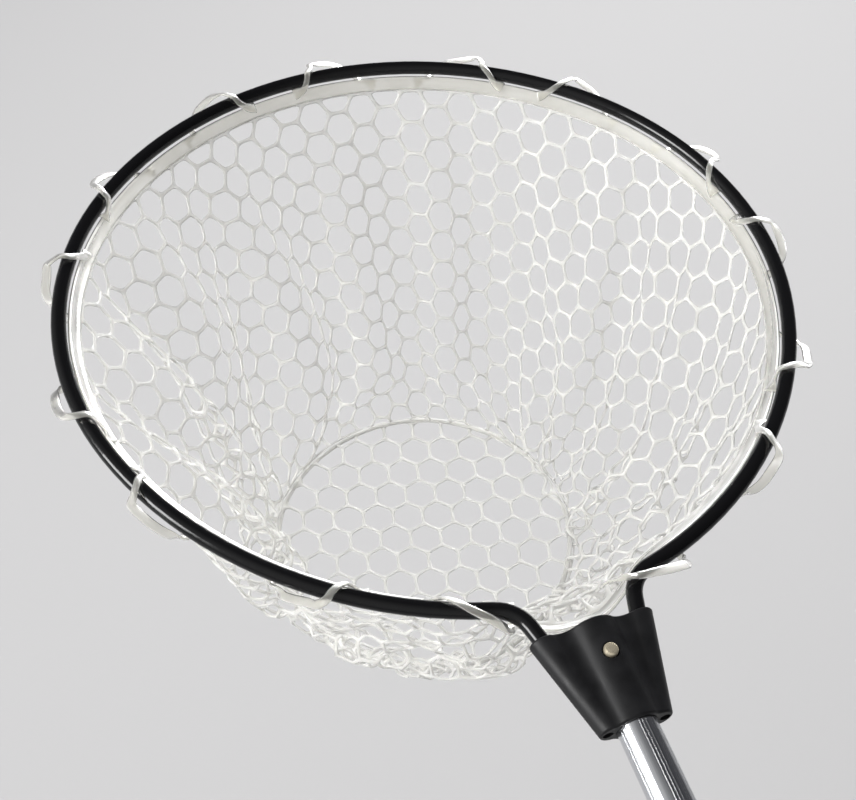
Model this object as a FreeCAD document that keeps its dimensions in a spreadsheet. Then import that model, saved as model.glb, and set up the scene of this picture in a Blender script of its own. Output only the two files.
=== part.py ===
"""Landing net with a sliding handle: a round hoop that carries a moulded net bag, a two-shell
yoke, and an extruded handle tube that a snap button locks in the yoke.

Millimetres. +Y runs along the handle from the butt towards the hoop, +Z is up, the hoop lies in
the plane Z = 0 and the bag hangs below it. The origin is the middle of the grip, on the axis.
"""
import FreeCAD, Part

import math
import os

import Sketcher
from FreeCAD import Placement, Rotation, Vector

# ---------------------------------------------------------------- driving dimensions
DIMS = {
    # handle tube, an extrusion with fine grooves in groups
    "handle_radius": 11.1,
    "handle_wall": 1.5,
    "handle_rear": -100,
    "handle_front": 618,
    "groove_radius": 0.35,
    "groove_pitch": 9.5,
    "groove_groups": 6,
    # plug in the hoop end of the handle
    "plug_spigot": 12,
    "plug_head": 1.6,
    "plug_step": 0.4,
    "slip": 0.05,
    # grip and butt cap
    "grip_radius": 15,
    "grip_half": 98,
    "grip_end": 100,
    "grip_lip": 13.4,
    "ferrule_radius": 13.4,
    "ferrule_front": 112,
    "ferrule_taper": 7,
    "ferrule_nose": 12.1,
    "cap_radius": 14.4,
    "cap_rear": -116,
    "cap_nose": 9,
    "cap_bevel": 4.8,
    "cap_spigot": 18,
    "tab_rear": -132,
    "tab_half_height": 7,
    "tab_thick": 8,
    "lanyard_radius": 2.6,
    "lanyard_centre": -125,
    "pin_radius": 1.5,
    "pin_centre": -91,
    # snap button and its leaf spring
    "button_centre": 599,
    "button_radius": 4,
    "button_top": 16,
    "button_shoulder": 14.4,
    "flange_radius": 5,
    "flange_top": 7.8,
    "leaf_top": 6.2,
    "leaf_bottom": -8.5,
    "leaf_thick": 0.7,
    "leaf_width": 7,
    "leaf_bend": 574,
    "leaf_upper_end": 604,
    "leaf_lower_end": 598,
    # yoke, two shells about the handle and the hoop's legs
    "yoke_front": 620,
    "yoke_length": 59,
    "parting_gap": 0.3,
    "yoke_bore": 11.35,
    "hub_radius": 14,
    "lobe_radius": 8.2,
    "valley_radius": 10,
    "lobe_front": 28.1,
    "lobe_rear": 12.3,
    "yoke_round": 1.4,
    "leg_bore": 4.82,
    "leg_bore_depth": 39,
    "leg_bore_over": 10,
    "corner_centre": 16.2,
    "corner_radius": 3,
    "corner_depth": 12,
    "button_window": 4.8,
    # screws from below
    "short_screw_side": 15.8,
    "short_screw_back": 13,
    "leg_screw_side": 20.9,
    "leg_screw_back": 27,
    "screw_radius": 1.5,
    "screw_head_radius": 2.7,
    "screw_head_height": 1.9,
    "key_radius": 1.2,
    "key_depth": 1.1,
    "short_screw_seat": -3.2,
    "short_screw_tip": 3.6,
    "leg_screw_seat": -5.7,
    "leg_screw_tip": 6.2,
    # hoop tube
    "hoop_radius": 4.75,
    "hoop_wall": 1,
    "hoop_top": 1102,
    "crown_radius": 243,
    "crown_turn": 47,
    "flank_radius": 213,
    "flank_turn": 63,
    "throat_radius": 258,
    "throat_turn": 55,
    "neck_radius": 22,
    "neck_turn": 60,
    "leg_length": 50,
    # moulded net
    "closing_radius": 150,
    "band_outer": 9,
    "band_inner": 11.5,
    "band_top": -3,
    "band_bottom": -11.6,
    "band_dip": -20.5,
    "band_notch": 15,
    "band_keep": 653,
    "loop_radius": 1.6,
    "loop_pitch": 96.5,
    "loop_half": 19,
    "loop_shoulder": 0.85,
    "loop_waist": 0.6,
    "loop_bend": 2.6,
    "loop_rise": 7.3,
    "loop_reach": 9.2,
    "wall_top": -12.2,
    "wall_inset": 12.2,
    "wall_thick": 1.2,
    "bag_middle": -150,
    "middle_far": 1014,
    "middle_scale": 0.73,
    "bag_floor": -250,
    "floor_thick": 1.2,
    "floor_far": 957,
    "floor_scale": 0.5,
    "cord_width": 3.5,
    "cord_round": 1.5,
}
LOOPS_EACH_SIDE = 7

doc = FreeCAD.newDocument("landing_net")
sheet = doc.addObject("Spreadsheet::Sheet", "dims")
for row, (alias, number) in enumerate(DIMS.items(), start=1):
    sheet.set(f"A{row}", alias)
    sheet.set(f"B{row}", str(number))
    sheet.setAlias(f"B{row}", alias)
doc.recompute()
D = {alias: float(sheet.get(alias)) for alias in DIMS}

pieces = []


# ---------------------------------------------------------------- helpers
def new_body(label):
    """A PartDesign body that becomes one node."""
    body = doc.addObject("PartDesign::Body", label)
    body.Label = label
    pieces.append(body)
    return body


def origin_plane(body, role):
    return next(f for f in body.Origin.OriginFeatures if f.Role == role)


def new_sketch(body, role, height=None):
    """A sketch on one of the body's origin planes, raised along its normal by an expression."""
    sketch = body.newObject("Sketcher::SketchObject", body.Name + "_sketch")
    sketch.AttachmentSupport = (origin_plane(body, role), [""])
    sketch.MapMode = "FlatFace"
    if height is not None:
        sketch.setExpression("AttachmentOffset.Base.z", height)
    return sketch


def bind(sketch, constraint, expression):
    """Adds a dimension and ties it to the sheet."""
    index = sketch.addConstraint(constraint)
    sketch.setExpression(f"Constraints[{index}]", expression)


def place_point(sketch, geometry, end, across, along):
    """Fixes one end of a geometry at a place given by two expressions."""
    bind(sketch, Sketcher.Constraint("DistanceX", -1, 1, geometry, end, 1.0), across)
    bind(sketch, Sketcher.Constraint("DistanceY", -1, 1, geometry, end, 1.0), along)


def draw_polygon(sketch, corners):
    """A closed outline of straight edges whose corners are pairs of expressions."""
    count = len(corners)
    start = sketch.GeometryCount
    spots = [
        Vector(20 * math.cos(math.tau * i / count), 20 * math.sin(math.tau * i / count), 0)
        for i in range(count)
    ]
    for i in range(count):
        sketch.addGeometry(Part.LineSegment(spots[i], spots[(i + 1) % count]), False)
    for i in range(count):
        following = start + (i + 1) % count
        sketch.addConstraint(Sketcher.Constraint("Coincident", start + i, 2, following, 1))
    for i, (across, along) in enumerate(corners):
        place_point(sketch, start + i, 1, across, along)


def draw_circle(sketch, across, along, radius):
    """A circle whose centre and radius are expressions."""
    index = sketch.addGeometry(Part.Circle(Vector(5, 5, 0), Vector(0, 0, 1), 2), False)
    place_point(sketch, index, 3, across, along)
    bind(sketch, Sketcher.Constraint("Radius", index, 2.0), radius)


def pad(body, sketch, length, reverse=False, both_ways=False):
    feature = body.newObject("PartDesign::Pad", body.Name + "_pad")
    feature.Profile = sketch
    feature.setExpression("Length", length)
    feature.Reversed = reverse
    if both_ways:
        feature.SideType = "Symmetric"
    return feature


def pocket(body, sketch, length=None, reverse=False, both_ways=False):
    feature = body.newObject("PartDesign::Pocket", body.Name + "_pocket")
    feature.Profile = sketch
    if length is None:
        feature.Type = "ThroughAll"
    else:
        feature.setExpression("Length", length)
    feature.Reversed = reverse
    if both_ways:
        feature.SideType = "Symmetric"
    return feature


def turn_about(body, sketch, axis="V_Axis"):
    feature = body.newObject("PartDesign::Revolution", body.Name + "_turned")
    feature.Profile = sketch
    feature.ReferenceAxis = (sketch, [axis])
    feature.Angle = 360
    return feature


def turned_on_handle(label, corners):
    """A piece turned about the handle's axis from (radius, station) corners."""
    body = new_body(label)
    sketch = new_sketch(body, "XY_Plane")
    draw_polygon(sketch, corners)
    turn_about(body, sketch)
    return body


# ---------------------------------------------------------------- the hoop's centre line
def swept_arc(centre, radius, first, last):
    """The arc of a circle between two angles in degrees, counter-clockwise."""
    circle = Part.Circle(Vector(*centre, 0), Vector(0, 0, 1), radius)
    return Part.ArcOfCircle(circle, math.radians(first), math.radians(last))


def outline_centres(top, inset, scale):
    """Centres and radii of the crown, right flank and right throat arcs."""
    crown = D["crown_radius"] * scale - inset
    flank = D["flank_radius"] * scale - inset
    throat = D["throat_radius"] * scale - inset
    first = math.radians(D["crown_turn"])
    second = math.radians(D["crown_turn"] + D["flank_turn"])
    crown_at = (0.0, top - D["crown_radius"] * scale)
    flank_at = (
        (crown - flank) * math.sin(first),
        crown_at[1] + (crown - flank) * math.cos(first),
    )
    throat_at = (
        flank_at[0] - (throat - flank) * math.sin(second),
        flank_at[1] - (throat - flank) * math.cos(second),
    )
    return (crown_at, crown), (flank_at, flank), (throat_at, throat)


def draw_hoop_half(sketch):
    """The open right half of the hoop's centre line, from the crown to the leg's end."""
    crown, flank, throat = outline_centres(D["hoop_top"], 0, 1)
    turn_1 = D["crown_turn"]
    turn_2 = turn_1 + D["flank_turn"]
    turn_3 = turn_2 + D["throat_turn"]
    turn_4 = turn_3 - D["neck_turn"]
    reach = throat[1] + D["neck_radius"]
    neck_at = (
        throat[0][0] + reach * math.sin(math.radians(turn_3)),
        throat[0][1] + reach * math.cos(math.radians(turn_3)),
    )
    sketch.addGeometry(swept_arc(*crown, 90 - turn_1, 90), False)
    sketch.addGeometry(swept_arc(*flank, 90 - turn_2, 90 - turn_1), False)
    sketch.addGeometry(swept_arc(*throat, 90 - turn_3, 90 - turn_2), False)
    sketch.addGeometry(swept_arc(neck_at, D["neck_radius"], 270 - turn_3, 270 - turn_4), False)
    end = math.radians(270 - turn_4)
    heel = Vector(
        neck_at[0] + D["neck_radius"] * math.cos(end),
        neck_at[1] + D["neck_radius"] * math.sin(end),
        0,
    )
    heading = Vector(-math.sin(end), math.cos(end), 0)
    sketch.addGeometry(Part.LineSegment(heel, heel + heading * D["leg_length"]), False)
    sketch.addConstraint(Sketcher.Constraint("PointOnObject", 0, 3, -2))
    sketch.addConstraint(Sketcher.Constraint("PointOnObject", 0, 2, -2))
    joints = ((0, 1, 1, 2), (1, 1, 2, 2), (2, 1, 3, 1), (3, 2, 4, 1))
    for first, first_end, second, second_end in joints:
        sketch.addConstraint(
            Sketcher.Constraint("Tangent", first, first_end, second, second_end)
        )
    top = D["hoop_top"]
    bind(sketch, Sketcher.Constraint("DistanceY", -1, 1, 0, 2, top), "dims.hoop_top")
    for index, name in enumerate(("crown", "flank", "throat", "neck")):
        radius, turn = D[name + "_radius"], math.radians(D[name + "_turn"])
        bind(sketch, Sketcher.Constraint("Radius", index, radius), f"dims.{name}_radius")
        bind(sketch, Sketcher.Constraint("Angle", index, turn), f"dims.{name}_turn * 1 deg")
    length = D["leg_length"]
    bind(sketch, Sketcher.Constraint("Distance", 4, length), "dims.leg_length")


def draw_outline(sketch, top, inset, scale="1"):
    """A closed copy of the hoop's outline: scaled, then set in, with its crown at top.

    top, inset and scale are sums of names and plain numbers, such as "wall_thick + 2". The arcs
    run counter-clockwise, and the last one closes the outline across the neck.
    """
    top_at, inset_by, scaled = number_of(top), number_of(inset), number_of(scale)
    crown, flank, throat = outline_centres(top_at, inset_by, scaled)
    closing = D["closing_radius"] * scaled - inset_by
    turn_1 = D["crown_turn"]
    turn_2 = turn_1 + D["flank_turn"]
    turn_4 = 180 - math.degrees(math.asin(-throat[0][0] / (throat[1] - closing)))
    drop = (throat[1] - closing) * math.cos(math.radians(turn_4))
    closing_at = (0.0, throat[0][1] + drop)
    left_flank = (-flank[0][0], flank[0][1])
    left_throat = (-throat[0][0], throat[0][1])
    start = sketch.GeometryCount
    arcs = (
        swept_arc(*crown, 90 - turn_1, 90 + turn_1),
        swept_arc(left_flank, flank[1], 90 + turn_1, 90 + turn_2),
        swept_arc(left_throat, throat[1], 90 + turn_2, 90 + turn_4),
        swept_arc(closing_at, closing, 90 + turn_4, 450 - turn_4),
        swept_arc(throat[0], throat[1], 90 - turn_4, 90 - turn_2),
        swept_arc(flank[0], flank[1], 90 - turn_2, 90 - turn_1),
    )
    for arc in arcs:
        sketch.addGeometry(arc, False)
    for i in range(6):
        sketch.addConstraint(
            Sketcher.Constraint("Tangent", start + i, 2, start + (i + 1) % 6, 1)
        )
    sketch.addConstraint(Sketcher.Constraint("PointOnObject", start, 3, -2))
    sketch.addConstraint(Sketcher.Constraint("Symmetric", start, 1, start, 2, -2))
    names = ("crown", "flank", "throat", "closing", "throat", "flank")
    sizes = (crown[1], flank[1], throat[1], closing, throat[1], flank[1])
    factor, shift = expression_of(scale), expression_of(inset)
    for i, (name, size) in enumerate(zip(names, sizes)):
        formula = f"dims.{name}_radius * {factor} - {shift}"
        bind(sketch, Sketcher.Constraint("Radius", start + i, size), formula)
    centre = f"{expression_of(top)} - dims.crown_radius * {factor}"
    bind(sketch, Sketcher.Constraint("DistanceY", -1, 1, start, 3, crown[0][1]), centre)
    crown_span = math.radians(2 * turn_1)
    bind(sketch, Sketcher.Constraint("Angle", start, crown_span), "dims.crown_turn * 2 deg")
    flank_span = math.radians(D["flank_turn"])
    for i in (1, 5):
        bind(sketch, Sketcher.Constraint("Angle", start + i, flank_span), "dims.flank_turn * 1 deg")


def number_of(term):
    """The value of a sum of names and numbers, such as 'floor_thick + 2'."""
    total = 0.0
    for part in term.split("+"):
        part = part.strip()
        total += D[part] if part in D else float(part)
    return total


def expression_of(term):
    """The same sum as an expression on the sheet."""
    words = [w.strip() for w in term.split("+")]
    return "(" + " + ".join(f"dims.{w}" if w in D else w for w in words) + ")"


def hoop_frame(length):
    """Where the hoop's centre line is at a signed length from the crown, and its outward way."""
    side = 1 if length >= 0 else -1
    left = abs(length)
    turn = 0.0
    arcs = outline_centres(D["hoop_top"], 0, 1)
    for (centre, radius), name in zip(arcs, ("crown", "flank", "throat")):
        span = math.radians(D[name + "_turn"])
        if left <= span * radius or name == "throat":
            angle = turn + left / radius
            out = Vector(side * math.sin(angle), math.cos(angle), 0)
            return Vector(side * centre[0], centre[1], 0) + out * radius, out
        left -= span * radius
        turn += span


# ---------------------------------------------------------------- handle
def make_handle_tube():
    body = new_body("handle_tube")
    ring = new_sketch(body, "XZ_Plane", "-dims.handle_front")
    draw_circle(ring, "0", "0", "dims.handle_radius")
    draw_circle(ring, "0", "0", "dims.handle_radius - dims.handle_wall")
    pad(body, ring, "dims.handle_front - dims.handle_rear")
    grooves = new_sketch(body, "XZ_Plane", "-dims.handle_front")
    for step in (-1, 0, 1):
        angle = f"({step} * dims.groove_pitch * 1 deg)"
        across = f"dims.handle_radius * sin({angle})"
        upward = f"dims.handle_radius * cos({angle})"
        draw_circle(grooves, across, upward, "dims.groove_radius")
    cut = pocket(body, grooves, "dims.handle_front - dims.handle_rear", reverse=True)
    doc.recompute()
    pattern = body.newObject("PartDesign::PolarPattern", "groove_groups")
    pattern.Originals = [cut]
    pattern.Axis = (grooves, ["N_Axis"])
    pattern.Angle = 360
    pattern.setExpression("Occurrences", "dims.groove_groups")
    body.Tip = pattern
    doc.recompute()
    window = new_sketch(body, "XY_Plane")
    draw_circle(window, "0", "dims.button_centre", "dims.button_radius + 2 * dims.slip")
    pocket(body, window, "dims.handle_radius + 1", reverse=True)
    pin_hole = new_sketch(body, "XY_Plane")
    draw_circle(pin_hole, "0", "dims.pin_centre", "dims.pin_radius + dims.slip")
    pocket(body, pin_hole, "4 * dims.handle_radius", both_ways=True)
    doc.recompute()
    return body


def make_front_plug():
    inside = "dims.handle_radius - dims.handle_wall - dims.slip"
    return turned_on_handle(
        "front_plug",
        [
            ("0", "dims.handle_front - dims.plug_spigot"),
            (inside, "dims.handle_front - dims.plug_spigot"),
            (inside, "dims.handle_front + dims.slip"),
            ("dims.handle_radius - dims.plug_step", "dims.handle_front + dims.slip"),
            ("dims.handle_radius - 2 * dims.plug_step", "dims.handle_front + dims.plug_head"),
            ("0", "dims.handle_front + dims.plug_head"),
        ],
    )


def make_grip():
    return turned_on_handle(
        "grip",
        [
            ("dims.handle_radius + dims.slip", "-dims.grip_end"),
            ("dims.grip_lip", "-dims.grip_end"),
            ("dims.grip_radius", "-dims.grip_half"),
            ("dims.grip_radius", "dims.grip_half"),
            ("dims.grip_lip", "dims.grip_end"),
            ("dims.handle_radius + dims.slip", "dims.grip_end"),
        ],
    )


def make_grip_ferrule():
    return turned_on_handle(
        "grip_ferrule",
        [
            ("dims.handle_radius + dims.slip", "dims.grip_end + dims.slip"),
            ("dims.ferrule_radius", "dims.grip_end + dims.slip"),
            ("dims.ferrule_radius", "dims.ferrule_front - dims.ferrule_taper"),
            ("dims.ferrule_nose", "dims.ferrule_front"),
            ("dims.handle_radius + dims.slip", "dims.ferrule_front"),
        ],
    )


def make_butt_cap():
    inside = "dims.handle_radius - dims.handle_wall - dims.slip"
    front = "dims.handle_rear - dims.slip"
    body = turned_on_handle(
        "butt_cap",
        [
            ("0", "dims.cap_rear"),
            ("dims.cap_nose", "dims.cap_rear"),
            ("dims.cap_radius - dims.cap_bevel / 3", "dims.cap_rear + dims.cap_bevel / 2"),
            ("dims.cap_radius", "dims.cap_rear + 1.5 * dims.cap_bevel"),
            ("dims.cap_radius", front),
            (inside, front),
            (inside, "dims.handle_rear + dims.cap_spigot"),
            ("0", "dims.handle_rear + dims.cap_spigot"),
        ],
    )
    tab = new_sketch(body, "YZ_Plane")
    root = "dims.cap_rear + 2"
    half = "dims.tab_half_height"
    draw_polygon(
        tab,
        [
            (root, f"-{half}"),
            (root, half),
            (f"dims.tab_rear + {half}", half),
            ("dims.tab_rear + 2", f"{half} - 3"),
            ("dims.tab_rear", f"{half} - 6"),
            ("dims.tab_rear", f"6 - {half}"),
            ("dims.tab_rear + 2", f"3 - {half}"),
            (f"dims.tab_rear + {half}", f"-{half}"),
        ],
    )
    pad(body, tab, "dims.tab_thick", both_ways=True)
    eye = new_sketch(body, "YZ_Plane")
    draw_circle(eye, "dims.lanyard_centre", "0", "dims.lanyard_radius")
    pocket(body, eye, "4 * dims.tab_thick", both_ways=True)
    pin_hole = new_sketch(body, "XY_Plane")
    draw_circle(pin_hole, "0", "dims.pin_centre", "dims.pin_radius + dims.slip")
    pocket(body, pin_hole, "4 * dims.handle_radius", both_ways=True)
    return body


def make_cap_pin():
    """The cross pin that holds the butt cap's spigot in the tube, under the grip."""
    pin = doc.addObject("Part::Cylinder", "cap_pin")
    pin.Label = "cap_pin"
    pin.setExpression("Radius", "dims.pin_radius")
    pin.setExpression("Height", "2 * dims.handle_radius - 0.6")
    pin.Placement = Placement(
        Vector(0, D["pin_centre"], 0.3 - D["handle_radius"]), Rotation()
    )
    pieces.append(pin)


# ---------------------------------------------------------------- snap button
def make_snap_button():
    """A domed brass pin with a flange that stops it inside the handle tube."""
    body = new_body("snap_button")
    sketch = new_sketch(body, "XZ_Plane")
    draw_polygon(
        sketch,
        [
            ("0", "dims.leaf_top"),
            ("dims.flange_radius", "dims.leaf_top"),
            ("dims.flange_radius", "dims.flange_top"),
            ("dims.button_radius", "dims.flange_top"),
            ("dims.button_radius", "dims.button_shoulder"),
            ("dims.button_radius * 0.93", "dims.button_top - 0.9"),
            ("dims.button_radius * 0.72", "dims.button_top - 0.35"),
            ("dims.button_radius * 0.4", "dims.button_top - 0.08"),
            ("0", "dims.button_top"),
        ],
    )
    turn_about(body, sketch)
    body.Placement = Placement(Vector(0, D["button_centre"], 0), Rotation())


def make_button_spring():
    """A strip bent into a U: its upper leg carries the button, its lower leg rests in the tube."""
    body = new_body("button_spring")
    sketch = new_sketch(body, "YZ_Plane")
    outer = "(dims.leaf_top - dims.leaf_bottom) / 2"
    middle = "(dims.leaf_top + dims.leaf_bottom) / 2"
    outer_radius = (D["leaf_top"] - D["leaf_bottom"]) / 2
    centre = (D["leaf_bend"], (D["leaf_top"] + D["leaf_bottom"]) / 2)
    inner_radius = outer_radius - D["leaf_thick"]
    bend_out = sketch.addGeometry(swept_arc(centre, outer_radius, 90, 270), False)
    bend_in = sketch.addGeometry(swept_arc(centre, inner_radius, 90, 270), False)
    place_point(sketch, bend_out, 3, "dims.leaf_bend", middle)
    sketch.addConstraint(Sketcher.Constraint("Coincident", bend_out, 3, bend_in, 3))
    bind(sketch, Sketcher.Constraint("Radius", bend_out, outer_radius), outer)
    bind(sketch, Sketcher.Constraint("Radius", bend_in, inner_radius), f"{outer} - dims.leaf_thick")
    for arc in (bend_out, bend_in):
        for end in (1, 2):
            sketch.addConstraint(Sketcher.Constraint("Vertical", arc, end, arc, 3))
    for end, tip in ((1, "dims.leaf_upper_end"), (2, "dims.leaf_lower_end")):
        reach = number_of(tip.split(".")[1])
        outer_at = Vector(reach, centre[1] + (outer_radius if end == 1 else -outer_radius), 0)
        inner_at = Vector(reach, centre[1] + (inner_radius if end == 1 else -inner_radius), 0)
        near_out = Vector(centre[0], outer_at.y, 0)
        near_in = Vector(centre[0], inner_at.y, 0)
        long_out = sketch.addGeometry(Part.LineSegment(near_out, outer_at), False)
        tip_line = sketch.addGeometry(Part.LineSegment(outer_at, inner_at), False)
        long_in = sketch.addGeometry(Part.LineSegment(inner_at, near_in), False)
        sketch.addConstraint(Sketcher.Constraint("Coincident", bend_out, end, long_out, 1))
        sketch.addConstraint(Sketcher.Constraint("Coincident", long_out, 2, tip_line, 1))
        sketch.addConstraint(Sketcher.Constraint("Coincident", tip_line, 2, long_in, 1))
        sketch.addConstraint(Sketcher.Constraint("Coincident", long_in, 2, bend_in, end))
        for line in (long_out, long_in):
            sketch.addConstraint(Sketcher.Constraint("Horizontal", line))
        sketch.addConstraint(Sketcher.Constraint("Vertical", tip_line))
        bind(sketch, Sketcher.Constraint("DistanceX", -1, 1, tip_line, 1, reach), tip)
    pad(body, sketch, "dims.leaf_width", both_ways=True)


# ---------------------------------------------------------------- yoke
def draw_yoke_section(sketch, lobe, lobe_name):
    """The upper half of the yoke's section: two leg lobes and a hub, with soft valleys."""
    hub, side, valley = D["hub_radius"], D["lobe_radius"], D["valley_radius"]
    to_hub, to_side = hub + valley, side + valley
    x = (to_hub**2 - to_side**2 + lobe**2) / (2 * lobe)
    z = math.sqrt(to_hub**2 - x**2)
    at_hub = math.degrees(math.atan2(z, x))
    at_side = math.degrees(math.atan2(z, x - lobe))
    floor = D["parting_gap"] / 2
    low = math.degrees(math.asin(floor / side))
    arcs = (
        swept_arc((lobe, 0), side, low, at_side),
        swept_arc((x, z), valley, at_hub + 180, at_side + 180),
        swept_arc((0, 0), hub, at_hub, 180 - at_hub),
        swept_arc((-x, z), valley, 360 - at_side, 360 - at_hub),
        swept_arc((-lobe, 0), side, 180 - at_side, 180 - low),
    )
    for arc in arcs:
        sketch.addGeometry(arc, False)
    edge = side * math.cos(math.radians(low))
    sketch.addGeometry(
        Part.LineSegment(Vector(-lobe - edge, floor, 0), Vector(lobe + edge, floor, 0)), False
    )
    for first, first_end, second, second_end in (
        (0, 2, 1, 2),
        (1, 1, 2, 1),
        (2, 2, 3, 2),
        (3, 1, 4, 1),
    ):
        sketch.addConstraint(
            Sketcher.Constraint("Tangent", first, first_end, second, second_end)
        )
    sketch.addConstraint(Sketcher.Constraint("Coincident", 4, 2, 5, 1))
    sketch.addConstraint(Sketcher.Constraint("Coincident", 5, 2, 0, 1))
    sketch.addConstraint(Sketcher.Constraint("Coincident", 2, 3, -1, 1))
    sketch.addConstraint(Sketcher.Constraint("PointOnObject", 0, 3, -1))
    sketch.addConstraint(Sketcher.Constraint("PointOnObject", 4, 3, -1))
    sketch.addConstraint(Sketcher.Constraint("Horizontal", 5))
    bind(sketch, Sketcher.Constraint("DistanceX", -1, 1, 0, 3, lobe), f"dims.{lobe_name}")
    bind(sketch, Sketcher.Constraint("DistanceX", 4, 3, -1, 1, lobe), f"dims.{lobe_name}")
    bind(sketch, Sketcher.Constraint("DistanceY", -1, 1, 5, 1, floor), "dims.parting_gap / 2")
    bind(sketch, Sketcher.Constraint("Radius", 2, hub), "dims.hub_radius")
    for index in (0, 4):
        bind(sketch, Sketcher.Constraint("Radius", index, side), "dims.lobe_radius")
    for index in (1, 3):
        bind(sketch, Sketcher.Constraint("Radius", index, valley), "dims.valley_radius")


def cut_leg_seat(body, side):
    """A round seat for one leg of the hoop, turned about the leg's own axis."""
    turns = "dims.crown_turn + dims.flank_turn + dims.throat_turn - dims.neck_turn"
    lean = f"(({turns} - 90) * 1 deg)"
    angle = math.radians(
        D["crown_turn"] + D["flank_turn"] + D["throat_turn"] - D["neck_turn"] - 90
    )
    depth, over = D["leg_bore_depth"], D["leg_bore_over"]
    start = Vector(
        side * (D["lobe_front"] + over * math.tan(angle)), D["yoke_front"] + over, 0
    )
    end = Vector(
        side * (D["lobe_front"] - depth * math.tan(angle)), D["yoke_front"] - depth, 0
    )
    across = Vector(math.cos(angle), -side * math.sin(angle), 0) * D["leg_bore"]
    spots = [start, end, end + across, start + across]
    seat = new_sketch(body, "XY_Plane")
    for i in range(4):
        seat.addGeometry(Part.LineSegment(spots[i], spots[(i + 1) % 4]), False)
    for i in range(4):
        seat.addConstraint(Sketcher.Constraint("Coincident", i, 2, (i + 1) % 4, 1))
    for i in range(1, 4):
        seat.addConstraint(Sketcher.Constraint("Perpendicular", i - 1, i))
    bind(seat, Sketcher.Constraint("Distance", 1, D["leg_bore"]), "dims.leg_bore")
    for end_number, spot, reach in ((1, start, "dims.leg_bore_over"), (2, end, "-dims.leg_bore_depth")):
        sideways = Sketcher.Constraint("DistanceX", -1, 1, 0, end_number, spot.x)
        bind(seat, sideways, f"{side} * (dims.lobe_front + {reach} * tan({lean}))")
        forward = Sketcher.Constraint("DistanceY", -1, 1, 0, end_number, spot.y)
        bind(seat, forward, f"dims.yoke_front + {reach}")
    groove = body.newObject("PartDesign::Groove", body.Name + "_leg_seat")
    groove.Profile = seat
    groove.ReferenceAxis = (seat, ["Edge1"])
    groove.Angle = 360
    doc.recompute()


def make_yoke_shell(label, turned_over):
    """One shell of the yoke, drawn as an upper half and turned over for the lower one."""
    body = new_body(label)
    front = new_sketch(body, "XZ_Plane", "-dims.yoke_front")
    draw_yoke_section(front, D["lobe_front"], "lobe_front")
    rear = new_sketch(body, "XZ_Plane", "dims.yoke_length - dims.yoke_front")
    draw_yoke_section(rear, D["lobe_rear"], "lobe_rear")
    loft = body.newObject("PartDesign::AdditiveLoft", label + "_loft")
    loft.Profile = front
    loft.Sections = [rear]
    loft.Ruled = True
    doc.recompute()
    rim = [
        f"Edge{i}"
        for i, edge in enumerate(loft.Shape.Edges, start=1)
        if edge.BoundBox.YLength < 0.01 and edge.BoundBox.ZMax > 1
    ]
    rounded = body.newObject("PartDesign::Fillet", label + "_round")
    rounded.Base = (loft, rim)
    rounded.setExpression("Radius", "dims.yoke_round")
    doc.recompute()

    bore = new_sketch(body, "XZ_Plane", "-dims.yoke_front - 5")
    draw_circle(bore, "0", "0", "dims.yoke_bore")
    pocket(body, bore, "dims.yoke_length + 10", reverse=True)
    doc.recompute()

    for side in (1, -1):
        cut_leg_seat(body, side)

    corners = new_sketch(body, "XZ_Plane", "dims.yoke_length - dims.yoke_front + 1")
    for sign in ("", "-"):
        draw_circle(corners, f"{sign}dims.corner_centre", "0", "dims.corner_radius")
    pocket(body, corners, "dims.corner_depth + 1")
    doc.recompute()
    if turned_over:
        body.Placement = Placement(Vector(), Rotation(Vector(0, 1, 0), 180))
    return body


def cut_round(body, height, name, radius, length, reverse):
    """A pair of round holes at one kind of screw, from a plane at some height."""
    sketch = new_sketch(body, "XY_Plane", height)
    for sign in ("", "-"):
        draw_circle(
            sketch,
            f"{sign}dims.{name}_side",
            f"dims.yoke_front - dims.{name}_back",
            radius,
        )
    pocket(body, sketch, length, reverse=reverse)
    doc.recompute()


def make_yoke():
    upper = make_yoke_shell("yoke_upper", False)
    hole = "dims.screw_radius + dims.slip"
    for name in ("short_screw", "leg_screw"):
        cut_round(upper, "0", name, hole, f"dims.{name}_tip + 0.2", True)
    window = new_sketch(upper, "XY_Plane", "0")
    draw_circle(window, "0", "dims.button_centre", "dims.button_window")
    pocket(upper, window, "dims.hub_radius + 2", reverse=True)

    # the lower shell is drawn as an upper one, so its screws enter from above
    lower = make_yoke_shell("yoke_lower", True)
    for name in ("short_screw", "leg_screw"):
        cut_round(lower, "0", name, hole, "2 * dims.hub_radius", True)
        head = "dims.screw_head_radius + 2 * dims.slip"
        cut_round(lower, f"-dims.{name}_seat", name, head, "dims.hub_radius", True)
    doc.recompute()


def make_screws(label, name):
    """A pair of pan-head screws, one on each side, with a hexagon recess in the head."""
    side, station = D[name + "_side"], D["yoke_front"] - D[name + "_back"]
    seat, tip = D[name + "_seat"], D[name + "_tip"]
    head_height, key = D["screw_head_height"], D["key_radius"]
    solids = []
    for x in (side, -side):
        shank = Part.makeCylinder(D["screw_radius"], tip - seat, Vector(x, 0, 0))
        head = Part.makeCylinder(D["screw_head_radius"], head_height, Vector(x, 0, -head_height))
        corners = []
        for turn in range(7):
            angle = math.radians(60 * turn)
            corner = Vector(x + key * math.cos(angle), key * math.sin(angle), -head_height)
            corners.append(corner)
        recess = Part.Face(Part.makePolygon(corners)).extrude(Vector(0, 0, D["key_depth"]))
        solids.append(head.fuse(shank).cut(recess).removeSplitter())
    screws = doc.addObject("Part::Feature", label)
    screws.Label = label
    screws.Shape = Part.makeCompound(solids)
    screws.Placement = Placement(Vector(0, station, seat), Rotation())
    pieces.append(screws)


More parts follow.
